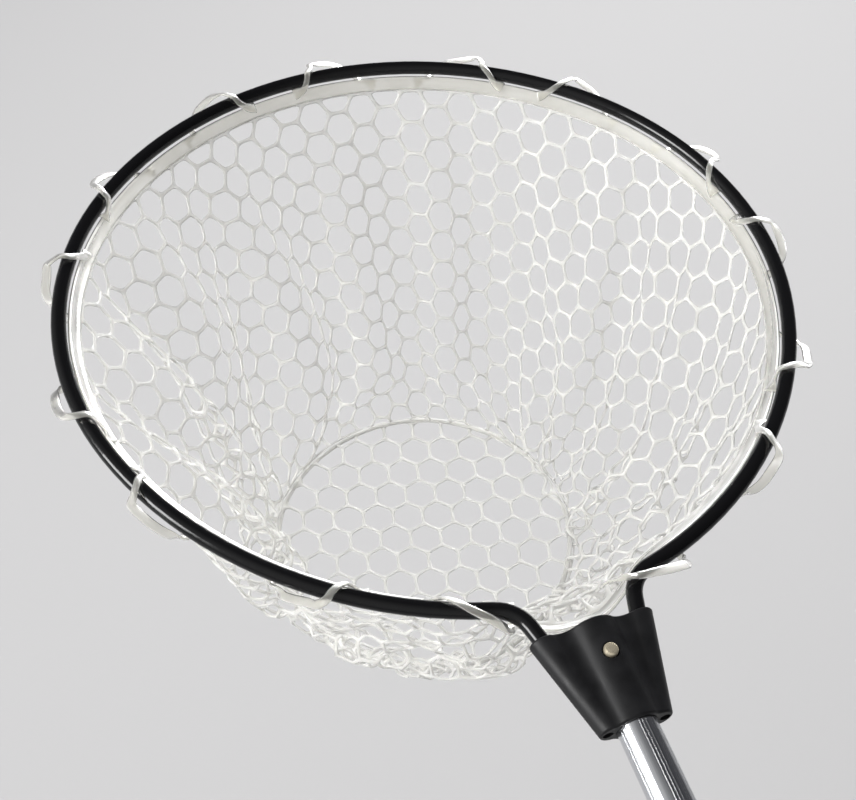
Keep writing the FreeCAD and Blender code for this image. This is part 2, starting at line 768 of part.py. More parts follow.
# ---------------------------------------------------------------- hoop
def make_hoop_tube():
    body = new_body("hoop_tube")
    path = new_sketch(body, "XY_Plane")
    draw_hoop_half(path)
    section = new_sketch(body, "YZ_Plane")
    draw_circle(section, "dims.hoop_top", "0", "dims.hoop_radius")
    draw_circle(section, "dims.hoop_top", "0", "dims.hoop_radius - dims.hoop_wall")
    doc.recompute()
    pipe = body.newObject("PartDesign::AdditivePipe", "hoop_half")
    pipe.Profile = section
    pipe.Spine = (path, [f"Edge{i}" for i in range(1, 6)])
    doc.recompute()
    mirrored = body.newObject("PartDesign::Mirrored", "hoop_other_half")
    mirrored.Originals = [pipe]
    mirrored.MirrorPlane = (origin_plane(body, "YZ_Plane"), [""])
    body.Tip = mirrored
    doc.recompute()
    holes = new_sketch(body, "XY_Plane")
    for sign in ("", "-"):
        draw_circle(
            holes,
            f"{sign}dims.leg_screw_side",
            "dims.yoke_front - dims.leg_screw_back",
            "dims.screw_radius + dims.slip",
        )
    pocket(body, holes, "4 * dims.hoop_radius", both_ways=True)
    doc.recompute()


# ---------------------------------------------------------------- moulded net
def make_rim_band():
    """The moulded band under the hoop. It dips at the neck so that the handle slides over it."""
    body = new_body("rim_band")
    ring = new_sketch(body, "XY_Plane", "dims.band_top")
    draw_outline(ring, "hoop_top", "band_outer")
    draw_outline(ring, "hoop_top", "band_inner")
    pad(body, ring, "dims.band_top - dims.band_dip", reverse=True)
    doc.recompute()
    wide = "dims.crown_radius + 20"
    skirt = new_sketch(body, "XY_Plane", "dims.band_dip")
    draw_polygon(
        skirt,
        [
            (f"-({wide})", "dims.band_keep"),
            (wide, "dims.band_keep"),
            (wide, "dims.hoop_top + 20"),
            (f"-({wide})", "dims.hoop_top + 20"),
        ],
    )
    pocket(body, skirt, "dims.band_bottom - dims.band_dip", reverse=True)
    notch = new_sketch(body, "XY_Plane", "dims.band_top + 1")
    draw_polygon(
        notch,
        [
            ("-dims.band_notch", "dims.yoke_front"),
            ("dims.band_notch", "dims.yoke_front"),
            ("dims.band_notch", "dims.band_keep"),
            ("-dims.band_notch", "dims.band_keep"),
        ],
    )
    pocket(body, notch, "dims.band_top + 1 - dims.band_bottom")
    doc.recompute()


def make_net_wall():
    """The bag's wall as a closed skin: the outer form, less the same form one thickness in."""
    body = new_body("net_wall")
    for kind, inset in (("AdditiveLoft", "0"), ("SubtractiveLoft", "wall_thick")):
        top = new_sketch(body, "XY_Plane", "dims.wall_top")
        draw_outline(top, "hoop_top", f"wall_inset + {inset}")
        middle = new_sketch(body, "XY_Plane", "dims.bag_middle")
        draw_outline(middle, "middle_far", inset, "middle_scale")
        low = new_sketch(body, "XY_Plane", "dims.bag_floor + dims.floor_thick + dims.slip")
        draw_outline(low, "floor_far", inset, "floor_scale")
        doc.recompute()
        loft = body.newObject(f"PartDesign::{kind}", f"wall_{kind}")
        loft.Profile = top
        loft.Sections = [middle, low]
        loft.Ruled = True
        doc.recompute()


def make_net_base():
    body = new_body("net_base")
    outline = new_sketch(body, "XY_Plane", "dims.bag_floor")
    draw_outline(outline, "floor_far", "0", "floor_scale")
    pad(body, outline, "dims.floor_thick")
    doc.recompute()


def make_base_cord():
    """The bead that joins the base panel to the wall, inside the bag."""
    body = new_body("base_cord")
    floor = "dims.bag_floor + dims.floor_thick + 2 * dims.slip"
    ring = new_sketch(body, "XY_Plane", floor)
    gap = "wall_thick + 1.2"
    draw_outline(ring, "floor_far", gap, "floor_scale")
    draw_outline(ring, "floor_far", f"{gap} + cord_width", "floor_scale")
    bead = pad(body, ring, "dims.cord_width")
    doc.recompute()
    rounded = body.newObject("PartDesign::Fillet", "cord_round")
    rounded.Base = (bead, [f"Edge{i}" for i in range(1, len(bead.Shape.Edges) + 1)
                           if bead.Shape.Edges[i - 1].BoundBox.ZLength < 0.01])
    rounded.setExpression("Radius", "dims.cord_round")
    doc.recompute()


def rounded_path(points, radius):
    """Straight runs joined by tangent arcs of one radius."""
    edges = []
    last = points[0]
    for before, corner, after in zip(points, points[1:], points[2:]):
        way_in = (corner - before).normalize()
        way_out = (after - corner).normalize()
        half_turn = way_in.getAngle(way_out) / 2
        setback = radius * math.tan(half_turn)
        start = corner - way_in * setback
        end = corner + way_out * setback
        inward = (way_out - way_in).normalize()
        centre = corner + inward * (radius / math.cos(half_turn))
        middle = centre - inward * radius
        edges.append(Part.LineSegment(last, start).toShape())
        edges.append(Part.Arc(start, middle, end).toShape())
        last = end
    edges.append(Part.LineSegment(last, points[-1]).toShape())
    return Part.Wire(edges)


def make_rim_loop(label, station, over):
    """A moulded strap round the hoop: one leg goes over the tube, the other under it.

    over is +1 where the leg over the tube is the clockwise one, seen from above. The route's
    points are (length along the hoop, distance outside its centre line, height).
    """
    half = D["loop_half"] * over
    shoulder, waist = half * D["loop_shoulder"], half * D["loop_waist"]
    rise, reach = D["loop_rise"], D["loop_reach"]
    band_middle = (D["band_outer"] + D["band_inner"]) / 2
    route = (
        (half, -band_middle, D["band_top"] + D["slip"]),
        (half, -band_middle, rise / 2),
        (half, -D["hoop_radius"] - 0.75, rise),
        (shoulder, reach - 1.2, rise),
        (waist, reach, 0.0),
        (-waist, reach, 0.0),
        (-shoulder, reach - 1.6, -rise),
        (-half, D["slip"] - D["band_outer"], -rise),
    )
    anchor, _ = hoop_frame(station)
    points = []
    for along, out, up in route:
        at, outward = hoop_frame(station + along)
        points.append(at + outward * out + Vector(0, 0, up) - anchor)
    start = points[0]
    circle = Part.Wire(Part.makeCircle(D["loop_radius"], start, points[1] - start))
    strap = rounded_path(points, D["loop_bend"]).makePipeShell([circle], True, True)
    loop = doc.addObject("Part::Feature", label)
    loop.Label = label
    loop.Shape = strap
    loop.Placement = Placement(anchor, Rotation())
    pieces.append(loop)


def make_rim_loops():
    for number, index in enumerate(range(-LOOPS_EACH_SIDE, LOOPS_EACH_SIDE + 1), start=1):
        over = 1 if index % 2 else -1
        make_rim_loop(f"rim_loop_{number:02d}", index * D["loop_pitch"], over)


# ---------------------------------------------------------------- build and write
def check_document():
    """Stops if any object failed to compute or any piece isn't a sound solid."""
    for obj in doc.Objects:
        if "Invalid" in obj.State or "Error" in obj.State:
            raise RuntimeError(f"{obj.Name} failed: {obj.State}")
    for piece in pieces:
        shape = piece.Shape
        if shape.isNull() or not shape.isValid() or not shape.Solids:
            raise RuntimeError(f"{piece.Label} is not a valid solid")


def main():
    make_handle_tube()
    make_front_plug()
    make_grip()
    make_grip_ferrule()
    make_butt_cap()
    make_cap_pin()
    make_snap_button()
    make_button_spring()
    make_yoke()
    make_screws("yoke_screws", "short_screw")
    make_screws("leg_screws", "leg_screw")
    make_hoop_tube()
    make_rim_band()
    make_rim_loops()
    make_net_wall()
    make_net_base()
    make_base_cord()
    doc.recompute()
    check_document()
    os.makedirs("parts", exist_ok=True)
    for piece in pieces:
        piece.Shape.exportStep(f"parts/{piece.Label}.step")
        box = piece.Shape.BoundBox
        print(
            f"{piece.Label:14s} solids {len(piece.Shape.Solids)} volume {piece.Shape.Volume:10.1f} "
            f"x {box.XMin:.1f} {box.XMax:.1f} y {box.YMin:.1f} {box.YMax:.1f} z {box.ZMin:.1f} {box.ZMax:.1f}"
        )


main()
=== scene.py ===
"""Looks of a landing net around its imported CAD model: the moulded net with its six-sided holes,
its rim band and loops, the foam grip, and the materials of the carried-over parts.

Metres, in the part's frame: +Y from the butt to the hoop, +Z up, the hoop in the plane Z = 0.
Angles along an outline are clockwise from +Y, seen from above.
"""

import math

import bpy
import numpy as np
from mathutils import Matrix, Vector


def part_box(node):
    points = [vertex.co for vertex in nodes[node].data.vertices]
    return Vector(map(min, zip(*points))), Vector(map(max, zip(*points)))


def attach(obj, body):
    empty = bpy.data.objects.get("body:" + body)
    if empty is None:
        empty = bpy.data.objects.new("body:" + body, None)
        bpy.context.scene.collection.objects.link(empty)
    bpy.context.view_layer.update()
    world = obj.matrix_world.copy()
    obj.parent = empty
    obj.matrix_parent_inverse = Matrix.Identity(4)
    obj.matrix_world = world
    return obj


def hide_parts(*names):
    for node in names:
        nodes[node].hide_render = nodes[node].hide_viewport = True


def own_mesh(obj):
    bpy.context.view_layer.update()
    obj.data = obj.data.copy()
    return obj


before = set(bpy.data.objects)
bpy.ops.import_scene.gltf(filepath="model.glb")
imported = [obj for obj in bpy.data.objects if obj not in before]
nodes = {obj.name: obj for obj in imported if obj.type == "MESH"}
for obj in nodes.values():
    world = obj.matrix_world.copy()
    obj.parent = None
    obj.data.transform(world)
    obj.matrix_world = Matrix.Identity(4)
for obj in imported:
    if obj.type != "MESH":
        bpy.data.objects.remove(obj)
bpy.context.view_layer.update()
rng = np.random.default_rng(7)

# ---------------------------------------------------------------- sizes taken from the frame
hoop_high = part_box("hoop_tube")[1]
base_low, base_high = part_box("net_base")
# the crown of the hoop's centre line, a tube's radius inside its box
HOOP_TOP = hoop_high.y - hoop_high.z
BASE_Z = base_low.z
BASE_FAR = base_high.y

# ---------------------------------------------------------------- outlines of the hoop and bag
# (radius, turn in degrees) of the hoop's arcs from the crown down one side, and the radius of
# the arc that closes the outline across the neck
ARCS = ((0.243, 47.0), (0.213, 63.0), (0.258, 55.0))
CLOSING = 0.150
# the bag half-way down, and its base, have the same outline: height, furthest Y, and size next
# to the hoop's
MIDDLE_Z, MIDDLE_FAR, MIDDLE_SCALE = -0.150, 1.014, 0.73
BASE_SCALE = 0.5
OUTLINE_STEPS = 721


def outline(top, inset, scale, count):
    """A closed outline of the hoop's form, inset from one whose crown is at Y = top.

    Returns count points, evenly spaced clockwise from the crown, their outward ways, and the
    outline's length.
    """
    radii = [radius * scale - inset for radius, _ in ARCS]
    closing = CLOSING * scale - inset
    turns = np.radians(np.cumsum([turn for _, turn in ARCS]))
    centres = [np.array([0.0, top - ARCS[0][0] * scale])]
    for k in (0, 1):
        way = np.array([math.sin(turns[k]), math.cos(turns[k])])
        centres.append(centres[k] + (radii[k] - radii[k + 1]) * way)
    last = math.pi - math.asin(-centres[2][0] / (radii[2] - closing))
    drop = (radii[2] - closing) * math.cos(last)
    centres.append(np.array([0.0, centres[2][1] + drop]))
    radii.append(closing)
    limits = [turns[0], turns[1], last, math.pi]
    angles = np.linspace(0, math.pi, OUTLINE_STEPS)
    which = np.searchsorted(limits[:3], angles)
    ways = np.stack([np.sin(angles), np.cos(angles)], 1)
    right = np.array(centres)[which] + np.array(radii)[which][:, None] * ways
    mirror = np.array([-1.0, 1.0])
    points = np.concatenate([right, right[-2:0:-1] * mirror])
    ways = np.concatenate([ways, ways[-2:0:-1] * mirror])
    closed = np.concatenate([points, points[:1]])
    lengths = np.concatenate([[0], np.cumsum(np.linalg.norm(np.diff(closed, axis=0), axis=1))])
    wanted = np.arange(count) / count * lengths[-1]
    closed_ways = np.concatenate([ways, ways[:1]])
    at = np.stack([np.interp(wanted, lengths, closed[:, k]) for k in (0, 1)], 1)
    out = np.stack([np.interp(wanted, lengths, closed_ways[:, k]) for k in (0, 1)], 1)
    return at, out / np.linalg.norm(out, axis=1)[:, None], lengths[-1]


def smooth_step(x):
    """0 below 0, 1 above 1, and a smooth rise between."""
    x = np.clip(x, 0.0, 1.0)
    return x * x * (3 - 2 * x)


# ---------------------------------------------------------------- mesh helpers
def make_mesh(name, points, faces, material, body, replaced):
    """A smooth piece that rides on a body and stands for CAD nodes."""
    mesh = bpy.data.meshes.new(name)
    mesh.from_pydata([tuple(p) for p in points], [], [tuple(f) for f in faces])
    mesh.validate()
    mesh.update()
    mesh.polygons.foreach_set("use_smooth", [True] * len(mesh.polygons))
    piece = bpy.data.objects.new(name, mesh)
    bpy.context.scene.collection.objects.link(piece)
    mesh.materials.append(material)
    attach(piece, body)
    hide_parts(*replaced)


def tube_faces(rings, around, closed):
    """Quads of a swept section; an open sweep gets a face at each end."""
    faces = []
    for i in range(rings if closed else rings - 1):
        here, there = i * around, (i + 1) % rings * around
        for k in range(around):
            after = (k + 1) % around
            faces.append((here + k, here + after, there + after, there + k))
    if not closed:
        faces.append(tuple(range(around - 1, -1, -1)))
        faces.append(tuple(range((rings - 1) * around, rings * around)))
    return faces


def spline_through(points, per_span):
    """A Catmull-Rom curve through points, ends included."""
    padded = np.concatenate([[2 * points[0] - points[1]], points, [2 * points[-1] - points[-2]]])
    curve = []
    for i in range(1, len(padded) - 2):
        a, b, c, d = padded[i - 1:i + 3]
        for step in range(per_span):
            x = step / per_span
            curve.append(0.5 * (2 * b + (c - a) * x + (2 * a - 5 * b + 4 * c - d) * x ** 2
                                + (3 * b - a - 3 * c + d) * x ** 3))
    curve.append(points[-1])
    return np.array(curve)


# ---------------------------------------------------------------- materials
# the noise lies mostly between these values
NOISE_RANGE = (0.3, 0.7)


def new_material(name, colour, roughness, **sockets):
    """A Principled material; other sockets are given by name, with _ for a space."""
    material = bpy.data.materials.new(name)
    material.use_nodes = True
    shader = material.node_tree.nodes["Principled BSDF"]
    shader.inputs["Base Color"].default_value = (*colour, 1)
    shader.inputs["Roughness"].default_value = roughness
    for socket, value in sockets.items():
        shader.inputs[socket.replace("_", " ")].default_value = value
    return material


def add_node(material, kind):
    return material.node_tree.nodes.new(kind)


def link(material, source, output, target, socket):
    material.node_tree.links.new(source.outputs[output], target.inputs[socket])


def object_noise(material, scale, detail, stretch=(1, 1, 1)):
    """Noise in the piece's own coordinates, which are the part's frame."""
    place = add_node(material, "ShaderNodeTexCoord")
    squeeze = add_node(material, "ShaderNodeMapping")
    squeeze.inputs["Scale"].default_value = stretch
    noise = add_node(material, "ShaderNodeTexNoise")
    noise.inputs["Scale"].default_value = scale
    noise.inputs["Detail"].default_value = detail
    link(material, place, "Object", squeeze, "Vector")
    link(material, squeeze, "Vector", noise, "Vector")
    return noise


def add_bump(material, texture, strength, distance, output="Fac"):
    bump = add_node(material, "ShaderNodeBump")
    bump.inputs["Strength"].default_value = strength
    bump.inputs["Distance"].default_value = distance
    link(material, texture, output, bump, "Height")
    link(material, bump, "Normal", material.node_tree.nodes["Principled BSDF"], "Normal")


def vary(material, noise, socket, low, high):
    """Drives a socket of the shader from noise, between two values or colours."""
    shader = material.node_tree.nodes["Principled BSDF"]
    start, stop = NOISE_RANGE
    if isinstance(low, tuple):
        ramp = add_node(material, "ShaderNodeValToRGB")
        ramp.color_ramp.elements[0].position = start
        ramp.color_ramp.elements[1].position = stop
        ramp.color_ramp.elements[0].color = (*low, 1)
        ramp.color_ramp.elements[1].color = (*high, 1)
        link(material, noise, "Fac", ramp, "Fac")
        link(material, ramp, "Color", shader, socket)
    else:
        spread = add_node(material, "ShaderNodeMapRange")
        spread.inputs["From Min"].default_value = start
        spread.inputs["From Max"].default_value = stop
        spread.inputs["To Min"].default_value = low
        spread.inputs["To Max"].default_value = high
        link(material, noise, "Fac", spread, "Value")
        link(material, spread, "Result", shader, socket)


def make_clear_rubber(name, transmission, smoothest, roughest, refraction, dull, clear):
    """Clear moulded rubber, cloudy in places, with a slightly uneven skin."""
    material = new_material(name, clear, smoothest, IOR=refraction,
                            Transmission_Weight=transmission)
    cloudy = object_noise(material, 60, 2)
    vary(material, cloudy, "Base Color", dull, clear)
    vary(material, cloudy, "Roughness", smoothest, roughest)
    add_bump(material, object_noise(material, 420, 2), 0.12, 0.0004)
    return material


def make_hoop_paint():
    material = new_material("black_gloss", (0.004, 0.004, 0.0045), 0.2, IOR=1.38)
    vary(material, object_noise(material, 240, 4), "Roughness", 0.13, 0.22)
    add_bump(material, object_noise(material, 900, 2), 0.05, 0.0002)
    return material


def make_black_plastic():
    material = new_material("moulded_black", (0.010, 0.010, 0.011), 0.42, IOR=1.33)
    worn = object_noise(material, 90, 5)
    vary(material, worn, "Base Color", (0.007, 0.007, 0.0075), (0.013, 0.013, 0.014))
    vary(material, worn, "Roughness", 0.4, 0.54)
    add_bump(material, object_noise(material, 2600, 2), 0.25, 0.0002)
    return material


def make_aluminium():
    material = new_material("drawn_aluminium", (0.62, 0.63, 0.65), 0.2, Metallic=1.0)
    drawn = object_noise(material, 900, 3, (1, 0.012, 1))
    vary(material, drawn, "Roughness", 0.12, 0.26)
    vary(material, drawn, "Base Color", (0.56, 0.57, 0.59), (0.69, 0.70, 0.72))
    add_bump(material, drawn, 0.12, 0.0001)
    return material


def make_button_metal():
    material = new_material("plated_brass", (0.80, 0.71, 0.53), 0.2, Metallic=0.75)
    vary(material, object_noise(material, 700, 3), "Roughness", 0.14, 0.34)
    return material


def make_steel():
    material = new_material("stainless", (0.6, 0.6, 0.6), 0.28, Metallic=1.0)
    vary(material, object_noise(material, 800, 3), "Roughness", 0.2, 0.38)
    return material


def make_foam():
    """Dark foam with fine cells."""
    material = new_material("grip_foam", (0.022, 0.022, 0.023), 0.82)
    cells = add_node(material, "ShaderNodeTexVoronoi")
    cells.inputs["Scale"].default_value = 1700
    place = add_node(material, "ShaderNodeTexCoord")
    link(material, place, "Object", cells, "Vector")
    add_bump(material, cells, 0.5, 0.0004, "Distance")
    vary(material, object_noise(material, 120, 4), "Base Color", (0.017, 0.017, 0.018),
         (0.032, 0.032, 0.034))
    return material


NET = make_clear_rubber("clear_net", 0.66, 0.10, 0.22, 1.42, (0.985, 0.98, 0.94),
                        (0.995, 0.992, 0.97))
BAND = make_clear_rubber("clear_band", 0.85, 0.30, 0.44, 1.28, (0.85, 0.84, 0.78),
                         (0.92, 0.91, 0.86))
PAINT = make_hoop_paint()
PLASTIC = make_black_plastic()
ALUMINIUM = make_aluminium()
BUTTON = make_button_metal()
STEEL = make_steel()
FOAM = make_foam()

# ---------------------------------------------------------------- rim band
# the strap's upper edge, inside the hoop's centre line and below its plane, and how far the
# strap leans inwards as it goes down
BAND_INSET = 0.0053
BAND_TOP = -0.0036
BAND_LEAN = math.radians(40)
BAND_WIDE = 0.0100
BAND_STATIONS = 420
BEAD = 0.00125
WEB = 0.0007
# (down from the strap's edge, half thickness) of one bead
BEAD_PROFILE = ((0.0, 0.0), (0.0004, BEAD * 0.8), (0.0012, BEAD), (0.0021, BEAD * 0.9),
                (0.0030, WEB))

# at the neck the band hangs lower and reaches nearer the yoke: by how much, how far from the
# middle it does so in full, and over what distance that fades
NECK_FROM_CROWN = 0.40
NECK_DIP, DIP_FULL, DIP_FADE = 0.0098, 0.030, 0.040
NECK_REACH, REACH_FULL, REACH_FADE = 0.015, 0.010, 0.045


def neck_shift(points):
    """How far the band and the net reach towards the yoke, and dip, at points of their rim."""
    near = points[:, 1] < HOOP_TOP - NECK_FROM_CROWN
    across = np.abs(points[:, 0])
    reach = NECK_REACH * (1 - smooth_step((across - REACH_FULL) / REACH_FADE))
    dip = NECK_DIP * (1 - smooth_step((across - DIP_FULL) / DIP_FADE))
    return np.where(near, reach, 0.0), np.where(near, dip, 0.0)


def make_rim_band():
    """A leaning strap with a rounded bead along each edge."""
    at, out, _ = outline(HOOP_TOP, BAND_INSET, 1, BAND_STATIONS)
    reach, drop = neck_shift(at)
    width_way = np.array([-math.sin(BAND_LEAN), -math.cos(BAND_LEAN)])
    thick_way = np.array([math.cos(BAND_LEAN), -math.sin(BAND_LEAN)])
    section = list(BEAD_PROFILE)
    section += [(BAND_WIDE - down, half) for down, half in reversed(BEAD_PROFILE)]
    ring = section + [(down, -half) for down, half in section[-2:0:-1]]
    points = []
    for i in range(BAND_STATIONS):
        for down, half in ring:
            shift = width_way * down + thick_way * half
            x, y = at[i] + out[i] * shift[0]
            points.append((x, y - reach[i], BAND_TOP + shift[1] - drop[i]))
    faces = tube_faces(BAND_STATIONS, len(ring), True)
    make_mesh("rim_band_strap", points, faces, BAND, "head", ["rim_band"])


# ---------------------------------------------------------------- rim loops
LOOP_PITCH = 0.0965
LOOPS_EACH_SIDE = 7
STRAP_HALF_WIDE = 0.0021
LEVEL_EXTRA_WIDE = 0.0009
STRAP_HALF_THICK = 0.0010
# how square its section is, across and through: 1 for an oval, less for a squarer one
SQUARE_WIDE, SQUARE_THICK = 0.7, 0.75
# the pull upwards of a level strap, next to the 1 of the tube's own outward way
LEVEL_PULL = np.array([0.0, 0.0, 1.4])
# wider at its two roots, by this share, over this share of its length
ROOT_FLARE, ROOT_SHARE = 0.55, 0.14
STRAP_AROUND = 12
STRAP_STEPS = 7
# how much a loop's points may be off: along the hoop, outside it, in height, and the range of
# lengths of its two ends
LOOP_SWAY = (0.0012, 0.0006, 0.0005)
LOOP_LENGTHS = (0.92, 1.12)
# (along the hoop, outside its centre line, height, how far the strap is from flat on the tube, 0,
# to level, 1), starting from the root of the leg that crosses over the hoop
LOOP_ROUTE = (
    (0.0340, -0.0078, -0.0050, 0.6),
    (0.0270, -0.0074, -0.0024, 0.3),
    (0.0215, -0.0056, 0.0032, 0.0),
    (0.0185, -0.0016, 0.0065, 0.0),
    (0.0160, 0.0036, 0.0068, 0.1),
    (0.0135, 0.0084, 0.0052, 0.4),
    (0.0095, 0.0112, 0.0030, 0.8),
    (0.0030, 0.0110, 0.0012, 1.0),
    (-0.0060, 0.0102, -0.0014, 0.9),
    (-0.0130, 0.0076, -0.0046, 0.5),
    (-0.0175, 0.0020, -0.0072, 0.2),
    (-0.0220, -0.0040, -0.0074, 0.2),
    (-0.0300, -0.0080, -0.0080, 0.5),
)
# the two loops beside the neck cross the hoop aslant, and the left one ends under its bend
LEFT_NECK_ROUTE = (
    (0.0320, -0.0078, -0.0050, 0.6),
    (0.0250, -0.0072, -0.0015, 0.3),
    (0.0200, -0.0050, 0.0042, 0.0),
    (0.0140, -0.0012, 0.0068, 0.0),
    (0.0070, 0.0028, 0.0068, 0.1),
    (0.0000, 0.0062, 0.0056, 0.4),
    (-0.0060, 0.0088, 0.0030, 0.8),
    (-0.0110, 0.0104, -0.0010, 1.0),
    (-0.0140, 0.0100, -0.0050, 0.9),
    (-0.0150, 0.0060, -0.0078, 0.5),
    (-0.0150, 0.0000, -0.0082, 0.3),
    (-0.0150, -0.0050, -0.0084, 0.3),
    (-0.0160, -0.0090, -0.0095, 0.5),
)
RIGHT_NECK_ROUTE = (
    (0.0330, -0.0060, -0.0060, 0.6),
    (0.0285, -0.0035, -0.0015, 0.3),
    (0.0250, 0.0000, 0.0042, 0.0),
    (0.0205, 0.0030, 0.0066, 0.0),
    (0.0150, 0.0050, 0.0064, 0.1),
    (0.0080, 0.0068, 0.0056, 0.4),
    (0.0000, 0.0088, 0.0040, 0.8),
    (-0.0080, 0.0106, 0.0022, 1.0),
    (-0.0130, 0.0114, 0.0004, 1.0),
    (-0.0165, 0.0090, -0.0040, 0.6),
    (-0.0185, 0.0020, -0.0072, 0.2),
    (-0.0220, -0.0040, -0.0074, 0.2),
    (-0.0300, -0.0080, -0.0080, 0.5),
)


def hoop_place(length):
    """The hoop's centre line and outward way at a signed length from the crown."""
    side = 1 if length >= 0 else -1
    left, turn = abs(length), 0.0
    centre = np.array([0.0, HOOP_TOP - ARCS[0][0]])
    for k, (radius, degrees) in enumerate(ARCS):
        span = math.radians(degrees)
        if left <= span * radius or k == len(ARCS) - 1:
            angle = turn + left / radius
            way = np.array([math.sin(angle), math.cos(angle)])
            spot = centre + radius * way
            return spot * (side, 1), way * (side, 1)
        left -= span * radius
        turn += span
        way = np.array([math.sin(turn), math.cos(turn)])
        centre = centre + (radius - ARCS[k + 1][0]) * way


# the hoop's centre line at every millimetre, past the last loop on each side
HOOP_LINE = np.array([(*hoop_place(s)[0], 0.0) for s in np.linspace(-0.76, 0.76, 1521)])


def nearest_on_hoop(point):
    return HOOP_LINE[np.argmin(np.linalg.norm(HOOP_LINE - point, axis=1))]


def loop_guides(index):
    """(x, y, z, lean) of the points that a loop's strap passes; odd loops point the other way."""
    over = 1 if index % 2 else -1
    station = index * LOOP_PITCH
    sway = rng.uniform(-1, 1, (len(LOOP_ROUTE), 3)) * LOOP_SWAY
    ahead, behind = rng.uniform(*LOOP_LENGTHS, 2)
    route = LOOP_ROUTE
    if abs(index) == LOOPS_EACH_SIDE:
        route = LEFT_NECK_ROUTE if index < 0 else RIGHT_NECK_ROUTE
        sway = np.zeros_like(sway)
        ahead, behind = 1.0, 1.0
    guides = []
    for (along, outside, height, lean), shift in zip(route, sway):
        along *= ahead if along > 0 else behind
        spot, way = hoop_place(station + over * (along + shift[0]))
        outside += shift[1]
        guides.append((*(spot + way * outside), height + shift[2], lean))
    return np.array(guides)


def softened(value, power):
    """A cosine or sine raised to a power below 1, with its sign, which squares an oval."""
    return math.copysign(abs(value) ** power, value)


def make_rim_loop(number, index):
    """A strap along its route, wider at its roots and where it lies level."""
    route = spline_through(loop_guides(index), STRAP_STEPS)
    centres, leans = route[:, :3], np.clip(route[:, 3], 0, 1)
    last = len(centres) - 1
    points = []
    for i, centre in enumerate(centres):
        tangent = centres[min(i + 1, last)] - centres[max(i - 1, 0)]
        tangent = tangent / np.linalg.norm(tangent)
        away = centre - nearest_on_hoop(centre)
        away = away / np.linalg.norm(away) * (1 - leans[i]) + LEVEL_PULL * leans[i]
        away = away - tangent * (away @ tangent)
        away = away / np.linalg.norm(away)
        wide = np.cross(tangent, away)
        along = i / last
        flare = 1 + ROOT_FLARE * (1 - smooth_step(min(along, 1 - along) / ROOT_SHARE))
        half_wide = (STRAP_HALF_WIDE + LEVEL_EXTRA_WIDE * leans[i]) * flare
        for k in range(STRAP_AROUND):
            angle = math.tau * k / STRAP_AROUND
            across = half_wide * softened(math.cos(angle), SQUARE_WIDE)
            thick = STRAP_HALF_THICK * softened(math.sin(angle), SQUARE_THICK)
            points.append(centre + wide * across + away * thick)
    faces = tube_faces(last + 1, STRAP_AROUND, False)
    name = f"rim_loop_{number:02d}"
    make_mesh(name + "_strap", points, faces, BAND, "head", [name])


# ---------------------------------------------------------------- net wall: hanging surface
COLUMNS = 72
ROWS = 12
GRID_ACROSS = COLUMNS * 3
GRID_DOWN = 40
# the wall laid flat: its depth, and the share by which it narrows to the base
WALL_LONG = 0.272
TAPER = 0.22
# the wall begins in the band's lower bead
TOP_INSET = BAND_INSET + BAND_WIDE * math.sin(BAND_LEAN) - 0.0004
TOP_Z = BAND_TOP - BAND_WIDE * math.cos(BAND_LEAN) + 0.0006

# its lower edge, inside the base's outline and above the base
FOOT_INSET = 0.002
FOOT_HIGH = 0.003

# the solver: how far the free points drop in a step, the speed kept from step to step, the first
# unevenness, how far the wall may bulge past the bag's form, and how near the base it may come
HANG_STEPS = 26
PASSES = 6
DROP = 0.00006
SPEED_KEPT = 0.9
UNEVEN = 0.0006
BULGE = 0.004
CLEARANCE = 0.002
# the share of an error in length that one pass takes away along the grid, in shear and in bends,
# and how much of it where the sheet is too close rather than stretched
HOLD, SHEAR, BEND_WIDE, BEND_DOWN = 0.9, 0.12, 0.10, 0.15
PUSH_WIDE, PUSH_DOWN = 0.75, 0.5

# how far along the base's outline (0 to 1) a column that starts that far along the rim ends up
SHARE_AT_RIM = (0.0, 0.09, 0.40, 0.62, 0.90, 1.0)
SHARE_AT_BASE = (0.0, 0.150, 0.39, 0.64, 0.86, 1.0)

# folds that push the wall inwards: (share along the rim where it begins, share where it ends, the
# shares over which it grows and fades, depth in metres, how far down it is deepest)
FOLDS = (
    (0.112, 0.205, 0.020, 0.030, 0.022, 0.50),
    (0.392, 0.441, 0.024, 0.025, 0.022, 0.60),
    (0.440, 0.496, 0.027, 0.029, 0.026, 0.62),
    (0.498, 0.550, 0.026, 0.026, 0.020, 0.66),
    (0.552, 0.606, 0.027, 0.027, 0.026, 0.60),
    (0.608, 0.656, 0.024, 0.024, 0.030, 0.66),
    (0.650, 0.922, 0.080, 0.024, 0.076, 0.80),
    (0.770, 0.812, 0.021, 0.021, 0.020, 0.34),
    (0.698, 0.740, 0.021, 0.021, 0.024, 0.84),
    (0.748, 0.790, 0.020, 0.021, 0.020, 0.80),
    (0.832, 0.872, 0.020, 0.020, 0.018, 0.78),
    (0.945, 0.987, 0.021, 0.021, 0.008, 0.70),
    (0.008, 0.050, 0.021, 0.021, 0.009, 0.70),
    (0.060, 0.102, 0.021, 0.021, 0.012, 0.60),
)
# a run of narrow pleats on the right side, close together, with the ranges of their depth and of
# how far down they are deepest
PLEATS_FROM, PLEATS_TO = 0.200, 0.392
PLEATS = 8
PLEAT_SWAY = 0.002
PLEAT_DEPTH = (0.018, 0.028)
PLEAT_DEEPEST = (0.5, 0.75)

# directions in which the bag's form is tabled, all the way round
FORM_STEPS = 360
OUTLINE_FINE = 1440


